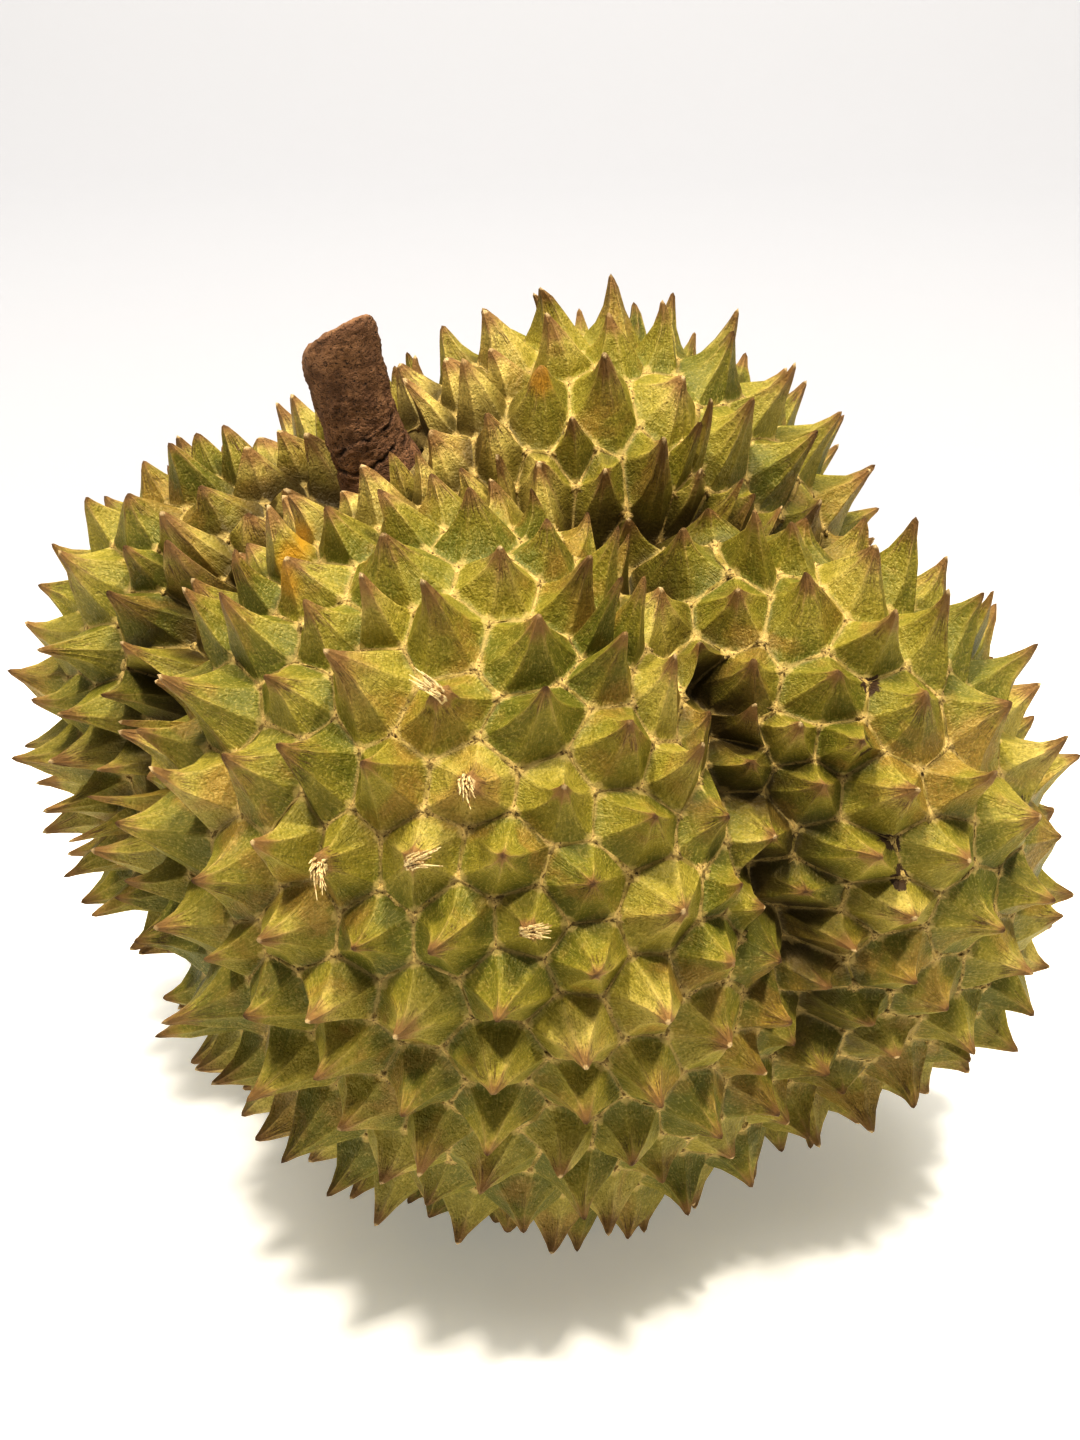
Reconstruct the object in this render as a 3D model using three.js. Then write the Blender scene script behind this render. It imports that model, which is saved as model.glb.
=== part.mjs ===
// A whole durian standing on its spines: one rind, swollen into five lobes and covered all over in
// pyramid spines, and the corky stem that leaves the hollow between the lobes.
// Millimetres, +Z up. The origin is on the surface the fruit stands on, under the middle of its box.
import * as THREE from "three";
import { ConvexHull } from "three/addons/math/ConvexHull.js";

// The five lobes are ellipsoids round the fruit's own axis: which way each one points, how far its
// middle lies from the axis, its half sizes outward, sideways and along the axis, and its height.
const LOBES = [
  { name: "front", azimuth: -107, offset: 47, outward: 80, sideways: 86, along: 97, height: -12 },
  { name: "right", azimuth: -38, offset: 43, outward: 83, sideways: 65, along: 88, height: -38 },
  { name: "rear right", azimuth: 33, offset: 29, outward: 72, sideways: 62, along: 79, height: 5 },
  { name: "rear left", azimuth: 112, offset: 44, outward: 70, sideways: 62, along: 81, height: 0 },
  { name: "left", azimuth: 167, offset: 60, outward: 69, sideways: 61, along: 95, height: 0 },
];
const CREASE_DEPTH = 22; // how far the creases between the lobes sink below where two lobes meet
const CREASE_WIDTH = 11; // and how much taller than the other one lobe must be for this to fade
const CREASE_START_DEG = [16, 50]; // from the stem out to where a crease has its full depth
const CREASE_END_DEG = [86, 145]; // and where it runs out again towards the base
const CREASE_SPINE_LOSS = 0.4; // the share by which the spines down in a crease are shorter

// How the fruit stands: its axis leans over to the front and the left, and the whole fruit has
// settled back to where its weight lies over the spines that it stands on.
const LEAN_FORWARD_DEG = 4.7;
const LEAN_LEFT_DEG = 28.8;
const SETTLED_BACK_DEG = 1.5;

// Spines: the pitch between neighbours and the length of one, on the belly and at the two ends.
const BELLY_PITCH = 24;
const STEM_PITCH = 9.4;
const BASE_PITCH = 13.4;
const BELLY_SPINE = 17;
const STEM_SPINE = 13;
const BASE_SPINE = 12;
const STEM_ZONE_DEG = [18, 48]; // from the stem out to where the spines have their full pitch
const BASE_ZONE_DEG = [91, 128]; // from full pitch to the crowded spines at the base
const SIZE_SPREAD = 0.26; // spines differ by this share of their pitch and of their length
const LENGTH_SPREAD = 0.06; // and by this share of their length alone
const LEAN_SPREAD = 0.12; // and lean at random by this share
const BELLY_HOOK = 0.15; // how far a tip bends towards the stem, as a share of its length
const STEM_HOOK = 0.16;
const SPINE_TAPER = 1.75; // width falls as (1 - height) to this power, so the flanks are hollow
const STEM_TAPER = 0.95; // round the stem the spines are fuller, like buds
const WAIST_HEIGHT = 0.36; // share of a spine's height at which its ridges bend
const PRESSED = 6; // how much of its lowest spine the weight of the fruit crushes flat
const SHALLOWEST_FLAT = 0.5; // a tip that lies less deep than this is bent up instead

// The stem and the socket it grows from.
const STEM_RADIUS = 10.2;
const FOOT_RADIUS = 11.2; // in the socket
const STEM_LENGTH = 38;
const STEM_BEND = 10.5; // how far the stem bends back upright on its way up
const BEND_CURVE = 1.3; // above 1, the stem bends more towards its top
const STEM_FLATTENING = 0.9;
const FLATTENED_ABOVE = 12; // the height above its seat from which the stem is flattened
const CUT_SLANT = 0.03; // rise of the cut across the stem, from left to right
const CUT_FRONT_RISE = 0.42; // and from the back to the front
const CUT_DROP = 2; // how much lower than the stem's full length the middle of the cut is
const CUT_DOME = 0.3; // how far the middle of the cut bulges
const STEM_SIDES = 28;
const MOUND = 4; // the seat of the stem stands this much above the skin round it
const SOCKET_DEPTH = 5;
const GAP = 0.3; // the clearance between the stem and its socket
const NEAREST_SPINE = 18.5; // from the stem's axis to the nearest spines
const SEAT_RADIUS = 15; // no spine starts nearer than this to the stem's axis
const STEM_REACH = 23; // and the stem pushes spines away that are nearer than this
const SEAT_CORNER_SHARE = 0.24; // the stem's weight, out of 1, where it and two spines meet

// How the spines are spread.
const SEED = 53;
const BANDS = 240; // thin bands from stem to base, in which the room for spines is counted
const BAND_SAMPLES = 72; // places round each band at which its area is taken
const START_NUDGE = 0.5; // how far a spine moves at random before it relaxes, in pitches
const RELAX_STEPS = 90;
const PUSH_REACH = 1.9; // two spines nearer than this push each other apart, in pitches
const PUSH_STRENGTH = 0.45;
const SMOOTHING_STEPS = 3;
const GOLDEN_ANGLE = Math.PI * (3 - Math.sqrt(5));
const DEG = Math.PI / 180;

const UP = new THREE.Vector3(0, 0, 1);

// A seeded random number from 0 to 1.
function seededRandom(seed) {
  let state = seed;
  return () => {
    state = (state + 0x6d2b79f5) | 0;
    let t = Math.imul(state ^ (state >>> 15), 1 | state);
    t = (t + Math.imul(t ^ (t >>> 7), 61 | t)) ^ t;
    return ((t ^ (t >>> 14)) >>> 0) / 4294967296;
  };
}

const lerp = THREE.MathUtils.lerp;
const smoothstep = THREE.MathUtils.smoothstep;

// The angle of a direction from the stem, in degrees.
function fromStem(direction) {
  return Math.acos(THREE.MathUtils.clamp(direction.z, -1, 1)) / DEG;
}

// How far one lobe's surface lies from the fruit's middle in a direction.
function lobeReach(lobe, direction) {
  const azimuth = lobe.azimuth * DEG;
  const out = (direction.x * Math.cos(azimuth) + direction.y * Math.sin(azimuth)) / lobe.outward;
  const side = (direction.y * Math.cos(azimuth) - direction.x * Math.sin(azimuth)) / lobe.sideways;
  const along = direction.z / lobe.along;
  const middleOut = lobe.offset / lobe.outward;
  const middleAlong = lobe.height / lobe.along;
  const a = out * out + side * side + along * along;
  const b = out * middleOut + along * middleAlong;
  const c = middleOut * middleOut + middleAlong * middleAlong - 1;
  return (b + Math.sqrt(b * b - a * c)) / a;
}

// How far the highest of the lobes reaches in a direction, and how close the direction is to the
// crease where it meets the next one: 1 in the crease, 0 on a lobe.
function tallestLobe(direction) {
  const [tallest, next] = LOBES.map((lobe) => lobeReach(lobe, direction)).sort((a, b) => b - a);
  const angle = fromStem(direction);
  const fade = smoothstep(angle, ...CREASE_START_DEG) * (1 - smoothstep(angle, ...CREASE_END_DEG));
  const closeness = fade * Math.exp((next - tallest) / CREASE_WIDTH);
  return { reach: tallest, closeness };
}

// The rind's skin between the spines: the lobe that reaches farthest, sunk at its creases.
function skinRadius(direction) {
  const { reach, closeness } = tallestLobe(direction);
  return reach - CREASE_DEPTH * closeness;
}

function onSkin(point) {
  const direction = point.clone().normalize();
  return direction.multiplyScalar(skinRadius(direction));
}

// A size that changes from its belly value to its value at the stem and at the base.
function graded(direction, belly, stem, base) {
  const stemward = 1 - smoothstep(fromStem(direction), ...STEM_ZONE_DEG);
  const baseward = smoothstep(fromStem(direction), ...BASE_ZONE_DEG);
  return lerp(lerp(belly, stem, stemward), base, baseward);
}

const pitchAt = (direction) => graded(direction, BELLY_PITCH, STEM_PITCH, BASE_PITCH);

function directionAt(z, azimuth) {
  const across = Math.sqrt(Math.max(0, 1 - z * z));
  return new THREE.Vector3(across * Math.cos(azimuth), across * Math.sin(azimuth), z);
}

// How many spines each thin band from stem to base holds: its area over the area of one spine.
function spinesPerBand() {
  const held = [];
  const step = 1e-3;
  const sampled = ((2 * Math.PI) / BAND_SAMPLES) * (2 / BANDS);
  for (let i = 0; i < BANDS; i++) {
    const z = 1 - (2 * i + 1) / BANDS;
    let spines = 0;
    for (let j = 0; j < BAND_SAMPLES; j++) {
      const azimuth = (2 * Math.PI * j) / BAND_SAMPLES;
      const here = onSkin(directionAt(z, azimuth));
      const east = onSkin(directionAt(z, azimuth + step)).sub(here);
      const south = onSkin(directionAt(z - step, azimuth)).sub(here);
      const areaPerUnit = east.cross(south).length() / step / step;
      const cell = (Math.sqrt(3) / 2) * pitchAt(directionAt(z, azimuth)) ** 2;
      spines += (areaPerUnit * sampled) / cell;
    }
    held.push(spines);
  }
  return held;
}

// The first layout: a golden-angle spiral that gives each band the spines that it has room for.
function spiralSites() {
  const held = spinesPerBand();
  const total = Math.round(held.reduce((a, b) => a + b, 0));
  const sites = [];
  let band = 0;
  let before = 0;
  for (let i = 0; i < total; i++) {
    const wanted = i + 0.5;
    while (band < BANDS - 1 && before + held[band] < wanted) {
      before += held[band];
      band++;
    }
    const within = THREE.MathUtils.clamp((wanted - before) / held[band], 0, 1);
    const z = 1 - (2 * (band + within)) / BANDS;
    sites.push(onSkin(directionAt(z, i * GOLDEN_ANGLE)));
  }
  return sites;
}

// The push on a site away from another one that is nearer than a reach.
function pushAway(site, other, reach) {
  const away = site.clone().sub(other);
  const distance = away.length();
  const strength = distance > 0 && distance < reach ? (1 - distance / reach) ** 2 : 0;
  return away.setLength(strength);
}

// Neighbours push each other apart on the skin until every one has room for its size, a share of the
// pitch there. The stem stays put.
function relaxedSites(random) {
  const stem = onSkin(UP);
  const sites = spiralSites().filter((site) => Math.hypot(site.x, site.y) > SEAT_RADIUS);
  const sizes = sites.map(() => 1 + SIZE_SPREAD * (2 * random() - 1));
  for (const site of sites) {
    const nudge = new THREE.Vector3(random() - 0.5, random() - 0.5, random() - 0.5);
    const pitch = pitchAt(site.clone().normalize());
    site.copy(onSkin(site.addScaledVector(nudge, START_NUDGE * pitch)));
  }
  for (let step = 0; step < RELAX_STEPS; step++) {
    const pushes = sites.map((site, i) => {
      const pitch = sizes[i] * pitchAt(site.clone().normalize());
      const push = pushAway(site, stem, STEM_REACH);
      for (const other of sites) push.add(pushAway(site, other, PUSH_REACH * pitch));
      return push.multiplyScalar(PUSH_STRENGTH * pitch);
    });
    sites.forEach((site, i) => site.copy(onSkin(site.add(pushes[i]))));
  }
  for (const site of sites) {
    const across = Math.hypot(site.x, site.y);
    if (across < NEAREST_SPINE && site.z > 0) {
      site.x *= NEAREST_SPINE / across;
      site.y *= NEAREST_SPINE / across;
      site.copy(onSkin(site));
    }
  }
  return { sites: [stem, ...sites], sizes: [1, ...sizes] };
}

// The triangles that join neighbouring sites, each anticlockwise seen from outside.
function trianglesBetween(sites) {
  const directions = sites.map((site) => site.clone().normalize());
  const numberOf = new Map(directions.map((direction, i) => [direction, i]));
  return new ConvexHull().setFromPoints(directions).faces.map((face) => {
    const corners = [];
    let edge = face.edge;
    do {
      corners.push(numberOf.get(edge.head().point));
      edge = edge.next;
    } while (edge !== face.edge);
    return corners;
  });
}

// For each site, the numbers of the triangles round it, anticlockwise seen from outside.
function trianglesRound(sites, triangles) {
  const after = new Map();
  triangles.forEach((triangle, number) => {
    for (let i = 0; i < 3; i++) {
      const [here, next, last] = [triangle[i], triangle[(i + 1) % 3], triangle[(i + 2) % 3]];
      after.set(here + ":" + next, { number, last });
    }
  });
  const first = new Map();
  for (const key of after.keys()) {
    const [here, next] = key.split(":").map(Number);
    if (!first.has(here)) first.set(here, next);
  }
  return sites.map((_, here) => {
    const round = [];
    let next = first.get(here);
    do {
      const found = after.get(here + ":" + next);
      round.push(found.number);
      next = found.last;
    } while (next !== first.get(here));
    return round;
  });
}

// Where three spines meet: between their sites, on the skin. Site 0 is the stem, and a corner beside
// it stands clear of it.
function meetingPoint(sites, triangle) {
  const firstShare = triangle.includes(0) ? SEAT_CORNER_SHARE : 1 / 3;
  const point = new THREE.Vector3();
  for (const number of triangle) {
    point.addScaledVector(sites[number], number === 0 ? firstShare : (1 - firstShare) / 2);
  }
  return onSkin(point);
}

// The way each spine points: the skin's own outward direction, evened out over its neighbours, so
// that the spines on the two sides of a crease come out side by side and don't cross.
function spineDirections(sites, triangles) {
  let directions = sites.map(() => new THREE.Vector3());
  for (const triangle of triangles) {
    const [a, b, c] = triangle.map((number) => sites[number]);
    const normal = b.clone().sub(a).cross(c.clone().sub(a));
    for (const number of triangle) directions[number].add(normal);
  }
  directions.forEach((direction) => direction.normalize());
  for (let step = 0; step < SMOOTHING_STEPS; step++) {
    const sums = directions.map((direction) => direction.clone());
    for (const triangle of triangles) {
      for (const here of triangle) {
        for (const other of triangle) {
          if (here !== other) sums[here].add(directions[other]);
        }
      }
    }
    directions = sums.map((sum) => sum.normalize());
  }
  return directions;
}

// One spine: a centre line that leaves the skin at its middle and bends towards the tip, and a
// taper. ridge(corner, height) is the ridge from a corner of its foot, height going from 0 to 1.
function spineShape(site, size, corners, outward, random) {
  const direction = site.clone().normalize();
  const middle = new THREE.Vector3();
  for (const corner of corners) middle.addScaledVector(corner, 1 / corners.length);
  const length =
    size *
    graded(direction, BELLY_SPINE, STEM_SPINE, BASE_SPINE) *
    (1 - CREASE_SPINE_LOSS * tallestLobe(direction).closeness) *
    (1 + LENGTH_SPREAD * (2 * random() - 1));
  const sideways = new THREE.Vector3().crossVectors(UP, outward).normalize();
  const stemwards = new THREE.Vector3().crossVectors(outward, sideways);
  const hook = graded(direction, BELLY_HOOK, STEM_HOOK, BELLY_HOOK);
  const bend = new THREE.Vector3()
    .addScaledVector(stemwards, length * (hook + LEAN_SPREAD * (2 * random() - 1)))
    .addScaledVector(sideways, length * LEAN_SPREAD * (2 * random() - 1));
  const taper = graded(direction, SPINE_TAPER, STEM_TAPER, SPINE_TAPER);
  const axis = (height) =>
    middle.clone().addScaledVector(outward, length * height).addScaledVector(bend, height * height);
  const ridge = (corner, height) =>
    axis(height).addScaledVector(corner.clone().sub(middle), (1 - height) ** taper);
  return { axis, ridge };
}

// The height on a falling line at which it reaches a level, by halving.
function heightAtLevel(line, level) {
  let [low, high] = [0, 1];
  for (let i = 0; i < 40; i++) {
    const middle = (low + high) / 2;
    if (line(middle).z > level) low = middle;
    else high = middle;
  }
  return low;
}

// The fruit's own frame, with the stem up its axis, turned to how the fruit stands.
const standing = new THREE.Matrix4()
  .makeRotationX(-SETTLED_BACK_DEG * DEG)
  .multiply(new THREE.Matrix4().makeRotationY(-LEAN_LEFT_DEG * DEG))
  .multiply(new THREE.Matrix4().makeRotationX(LEAN_FORWARD_DEG * DEG));

// Everything that the rind's mesh needs, in the fruit's own frame.
function layOutSpines() {
  const random = seededRandom(SEED);
  const { sites, sizes } = relaxedSites(random);
  const triangles = trianglesBetween(sites);
  const round = trianglesRound(sites, triangles);
  const corners = triangles.map((triangle) => meetingPoint(sites, triangle));
  const directions = spineDirections(sites, triangles);
  const spines = sites.slice(1).map((site, i) => {
    const feet = round[i + 1].map((number) => corners[number]);
    return { feet: round[i + 1], ...spineShape(site, sizes[i + 1], feet, directions[i + 1], random) };
  });
  return { seat: round[0], corners, spines, seatHeight: sites[0].z + MOUND };
}

// Collects vertices and triangles into one closed mesh.
class MeshBuilder {
  positions = [];
  triangles = [];

  add(point) {
    this.positions.push(point.x, point.y, point.z);
    return this.positions.length / 3 - 1;
  }

  face(a, b, c) {
    this.triangles.push(a, b, c);
  }

  geometry() {
    const geometry = new THREE.BufferGeometry();
    geometry.setAttribute("position", new THREE.Float32BufferAttribute(this.positions, 3));
    geometry.setIndex(this.triangles);
    geometry.computeVertexNormals();
    return geometry;
  }
}

// A spine's mesh: from the corners of its foot to a waist, and from the waist to the tip. One that
// would reach below the ground ends there in a flat spot, where its ridges meet the ground.
function addSpine(mesh, spine, corners, footNumbers, ground) {
  const stands = (line) => (height) => line(height).applyMatrix4(standing);
  const axis = stands(spine.axis);
  const crushed = axis(1).z < ground - SHALLOWEST_FLAT;
  const ridges = spine.feet.map((foot) => stands((height) => spine.ridge(corners[foot], height)));
  const pointOn = (line, height) => {
    const point = line(crushed ? heightAtLevel(line, ground) : height);
    point.z = crushed ? ground : Math.max(point.z, ground);
    return point;
  };
  const waist = ridges.map((ridge) => mesh.add(pointOn(ridge, WAIST_HEIGHT)));
  const tip = mesh.add(pointOn(axis, 1));
  spine.feet.forEach((foot, i) => {
    const next = (i + 1) % waist.length;
    const [a, b] = [footNumbers[foot], footNumbers[spine.feet[next]]];
    mesh.face(a, b, waist[next]);
    mesh.face(a, waist[next], waist[i]);
    mesh.face(waist[i], waist[next], tip);
  });
}

// The seat of the stem: a washer from the feet of the nearest spines in to a round socket, the
// socket's wall and its floor.
function addSeat(mesh, seat, corners, footNumbers, seatHeight) {
  const rimRadius = FOOT_RADIUS + 2 * GAP;
  const azimuths = seat.map((foot) => Math.atan2(corners[foot].y, corners[foot].x));
  const circle = (z) =>
    azimuths.flatMap((azimuth, i) => {
      let next = azimuths[(i + 1) % azimuths.length];
      if (next < azimuth) next += 2 * Math.PI;
      return [azimuth, (azimuth + next) / 2].map((angle) =>
        mesh.add(
          new THREE.Vector3(rimRadius * Math.cos(angle), rimRadius * Math.sin(angle), z)
            .applyMatrix4(standing),
        ),
      );
    });
  const rim = circle(seatHeight);
  const floor = circle(seatHeight - SOCKET_DEPTH);
  const middle = mesh.add(new THREE.Vector3(0, 0, seatHeight - SOCKET_DEPTH).applyMatrix4(standing));
  seat.forEach((foot, i) => {
    const nextFoot = seat[(i + 1) % seat.length];
    const between = rim[2 * i + 1];
    mesh.face(footNumbers[foot], footNumbers[nextFoot], between);
    mesh.face(footNumbers[foot], between, rim[2 * i]);
    mesh.face(footNumbers[nextFoot], rim[(2 * i + 2) % rim.length], between);
  });
  rim.forEach((top, i) => {
    const next = (i + 1) % rim.length;
    mesh.face(top, rim[next], floor[next]);
    mesh.face(top, floor[next], floor[i]);
    mesh.face(floor[i], floor[next], middle);
  });
}

function rindGeometry(layout, ground) {
  const mesh = new MeshBuilder();
  const footNumbers = layout.corners.map((corner) => mesh.add(corner.clone().applyMatrix4(standing)));
  for (const spine of layout.spines) addSpine(mesh, spine, layout.corners, footNumbers, ground);
  addSeat(mesh, layout.seat, layout.corners, footNumbers, layout.seatHeight);
  return mesh.geometry();
}

// The stem: rings along a gently bent centre line, cracked round near the foot, cut off slanting at
// the top with the cut's edge worn round. Each ring is its height above the seat, its radius, and
// its share of the cut's slant.
function stemGeometry(seatHeight) {
  const rings = [
    [GAP - SOCKET_DEPTH, FOOT_RADIUS, 0],
    [GAP, FOOT_RADIUS, 0],
    [4.3, STEM_RADIUS + 0.1, 0],
    [5.1, STEM_RADIUS - 0.6, 0],
    [5.9, STEM_RADIUS - 0.1, 0],
    [10.3, STEM_RADIUS - 0.3, 0],
    [11.1, STEM_RADIUS - 1, 0],
    [11.9, STEM_RADIUS - 0.3, 0],
    [17, STEM_RADIUS - 0.3, 0.05],
    [25, STEM_RADIUS - 0.1, 0.3],
    [33, STEM_RADIUS + 0.3, 0.7],
    [STEM_LENGTH - 2.5, STEM_RADIUS + 0.3, 1],
    [STEM_LENGTH - 0.8, STEM_RADIUS - 0.3, 1],
    [STEM_LENGTH, STEM_RADIUS - 1.4, 1],
  ];
  const bendAt = (height) => STEM_BEND * (Math.max(0, height) / STEM_LENGTH) ** BEND_CURVE;
  const mesh = new MeshBuilder();
  const centre = (height, cut) =>
    new THREE.Vector3(bendAt(height), 0, seatHeight + height - CUT_DROP * cut);
  const loops = rings.map(([height, radius, cut]) =>
    Array.from({ length: STEM_SIDES }, (_, i) => {
      const angle = (2 * Math.PI * i) / STEM_SIDES;
      const point = centre(height, cut);
      const x = radius * Math.cos(angle);
      const y = radius * (height > FLATTENED_ABOVE ? STEM_FLATTENING : 1) * Math.sin(angle);
      point.x += x;
      point.y += y;
      point.z += cut * (CUT_SLANT * x - CUT_FRONT_RISE * y);
      return mesh.add(point.applyMatrix4(standing));
    }),
  );
  const [first, last] = [rings[0], rings[rings.length - 1]];
  const foot = mesh.add(centre(first[0], first[2]).applyMatrix4(standing));
  const top = mesh.add(centre(last[0] + CUT_DOME, last[2]).applyMatrix4(standing));
  for (let i = 0; i < STEM_SIDES; i++) {
    const next = (i + 1) % STEM_SIDES;
    mesh.face(loops[0][next], loops[0][i], foot);
    mesh.face(loops[loops.length - 1][i], loops[loops.length - 1][next], top);
    for (let j = 0; j + 1 < loops.length; j++) {
      mesh.face(loops[j][i], loops[j][next], loops[j + 1][next]);
      mesh.face(loops[j][i], loops[j + 1][next], loops[j + 1][i]);
    }
  }
  return mesh.geometry();
}

const layout = layOutSpines();
const lowestTip = Math.min(...layout.spines.map((spine) => spine.axis(1).applyMatrix4(standing).z));
const ground = lowestTip + PRESSED;

const rind = new THREE.Mesh(
  rindGeometry(layout, ground),
  new THREE.MeshStandardMaterial({ color: "#8f8236", roughness: 0.7, metalness: 0 }),
);
rind.name = "rind";
const stem = new THREE.Mesh(
  stemGeometry(layout.seatHeight),
  new THREE.MeshStandardMaterial({ color: "#664526", roughness: 0.9, metalness: 0 }),
);
stem.name = "stem";

// The ground becomes z = 0, and the middle of the box goes over the origin.
const durian = new THREE.Group();
durian.add(rind, stem);
const box = new THREE.Box3().setFromObject(durian);
const middle = box.getCenter(new THREE.Vector3());
for (const mesh of [rind, stem]) mesh.geometry.translate(-middle.x, -middle.y, -ground);

export default durian;
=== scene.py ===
"""A whole durian, dressed: the rind with its fine spines and corky seams, the fibres of its broken
tips, the bark of the stem, and the plain studio round it.

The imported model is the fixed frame. The rind's spines are read from it cell by cell and drawn again
with hollow flanks and sharp ridges, so that every spine stays where it is. Lengths are in metres,
and in millimetres inside the materials.
"""

from __future__ import annotations

import logging
import math
from collections.abc import Sequence
from dataclasses import dataclass, field
from enum import Enum

import bmesh
import bpy
import numpy as np
from mathutils import Matrix, Vector

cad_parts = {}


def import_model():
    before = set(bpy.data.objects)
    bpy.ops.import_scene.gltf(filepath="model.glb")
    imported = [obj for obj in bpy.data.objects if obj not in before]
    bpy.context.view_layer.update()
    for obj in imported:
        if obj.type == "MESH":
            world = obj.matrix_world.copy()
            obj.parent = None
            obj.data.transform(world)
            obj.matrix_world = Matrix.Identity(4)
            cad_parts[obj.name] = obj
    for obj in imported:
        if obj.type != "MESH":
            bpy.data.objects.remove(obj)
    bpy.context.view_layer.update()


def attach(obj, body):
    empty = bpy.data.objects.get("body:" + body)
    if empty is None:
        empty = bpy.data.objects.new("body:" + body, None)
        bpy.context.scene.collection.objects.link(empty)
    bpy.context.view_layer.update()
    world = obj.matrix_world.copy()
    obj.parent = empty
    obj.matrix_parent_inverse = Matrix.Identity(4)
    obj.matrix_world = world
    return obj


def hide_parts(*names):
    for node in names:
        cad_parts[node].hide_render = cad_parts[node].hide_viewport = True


LOG = logging.getLogger("durian")
MM = 0.001
Triple = tuple[float, float, float]
Colour = Triple
Array = np.ndarray
Output = bpy.types.NodeSocket


# Arrays and meshes


def smoothstep(value: Array | float, low: float, high: float) -> Array:
    """A share that rises from 0 at low to 1 at high, flat at both ends.

    Args:
        value: The number or numbers to place between low and high.
        low: Where the share starts to rise.
        high: Where it reaches 1.

    Returns:
        t * t * (3 - 2 t), where t is how far value has come from low to high.
    """
    t = np.clip((np.asarray(value, float) - low) / (high - low), 0, 1)
    return t * t * (3 - 2 * t)


def arch(share: Array) -> Array:
    """A bow over the shares from 0 to 1, 4 s (1 - s): 1 halfway, and 0 at both ends."""
    return 4 * share * (1 - share)


def unit(vectors: Array) -> Array:
    """Vectors along the last axis, each divided by its own length, and zero where that is zero."""
    return vectors / np.maximum(np.linalg.norm(vectors, axis=-1, keepdims=True), 1e-12)


def circle(count: int) -> Array:
    """Points (cos, sin) spread evenly round a circle of radius 1, anticlockwise."""
    angle = 2 * math.pi * np.arange(count) / count
    return np.stack([np.cos(angle), np.sin(angle)], 1)


def sphere(count: int) -> Array:
    """Directions spread evenly over a sphere.

    Args:
        count: How many.

    Returns:
        One row each, from the top down in equal steps, each a golden angle round from the last.
    """
    index = np.arange(count) + 0.5
    z = 1 - 2 * index / count
    turn = index * math.pi * (3 - math.sqrt(5))
    level = np.sqrt(1 - z * z)
    return np.stack([level * np.cos(turn), level * np.sin(turn), z], 1)


@dataclass(frozen=True)
class Ripple:
    """A smooth uneven field in space: sine waves in random directions, added up.

    Attributes:
        wavelength: The mean length of a wave, in metres.
        waves: How many waves are added.
        seed: Picks the waves' directions, lengths and starts.
    """

    wavelength: float
    waves: int
    seed: int

    def at(self, points: Array) -> Array:
        """The field at some points.

        Args:
            points: An array whose last axis is x, y, z.

        Returns:
            The sum of sin(k . p + start) over the waves, scaled to lie mostly between -1 and 1.
        """
        rng = np.random.default_rng(self.seed)
        directions = unit(rng.normal(size=(self.waves, 3)))
        lengths = self.wavelength * rng.uniform(0.6, 1.6, (self.waves, 1))
        starts = rng.uniform(0, 2 * math.pi, self.waves)
        phases = points @ (2 * math.pi * directions / lengths).T + starts
        return np.sin(phases).sum(-1) / math.sqrt(self.waves)


def new_object(name: str, points: Array, faces: list[Sequence[int]]) -> bpy.types.Object:
    """A mesh object at the origin, smooth shaded.

    Args:
        name: The object's name, and its mesh's.
        points: The vertices, one row each.
        faces: The numbers of each face's vertices, anticlockwise seen from outside.

    Returns:
        The new object, linked to the scene.
    """
    mesh = bpy.data.meshes.new(name)
    mesh.from_pydata(points.tolist(), [], faces)
    mesh.update(calc_edges=True)
    mesh.shade_smooth()
    made = bpy.data.objects.new(name, mesh)
    bpy.context.scene.collection.objects.link(made)
    return made


def add_attribute(made: bpy.types.Object, name: str, domain: str, values: Array) -> None:
    """Stores one number for each point or face of an object's mesh.

    Args:
        made: The object.
        name: The attribute's name, which materials read.
        domain: POINT or FACE.
        values: One number for each of them.
    """
    layer = made.data.attributes.new(name, "FLOAT", domain)
    layer.data.foreach_set("value", np.ascontiguousarray(values, np.float32))


def closed_tubes(rings: Array) -> tuple[Array, list[Sequence[int]]]:
    """Tubes through rows of rings, each closed at both ends by one face.

    Args:
        rings: An array (tubes, rings, points, 3), each ring anticlockwise seen from its tube's end.

    Returns:
        The points and the faces of all the tubes.
    """
    tubes, rows, around, _ = rings.shape
    numbers = np.arange(tubes * rows * around).reshape(tubes, rows, around)
    turned = np.roll(numbers, -1, axis=2)
    sides = np.stack([numbers[:, :-1], turned[:, :-1], turned[:, 1:], numbers[:, 1:]], -1)
    ends = numbers[:, -1].tolist() + numbers[:, 0, ::-1].tolist()
    return rings.reshape(-1, 3), sides.reshape(-1, 4).tolist() + ends


def face_corners(grids: Array) -> tuple[Array, Array]:
    """What grids that end in a tip hold at the corners of their faces, anticlockwise.

    Args:
        grids: An array (grids, rows, columns) of numbers or of vectors.

    Returns:
        Four corners for each face of the lower rows, and three for each face that ends in the tip.
    """
    low, high, tip = grids[:, :-2], grids[:, 1:-1], grids[:, -1]
    quads = np.stack([low[:, :, :-1], low[:, :, 1:], high[:, :, 1:], high[:, :, :-1]], 3)
    tops = np.stack([high[:, -1, :-1], high[:, -1, 1:], tip[:, 1:]], 2)
    return quads, tops


# Shader maths


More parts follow.
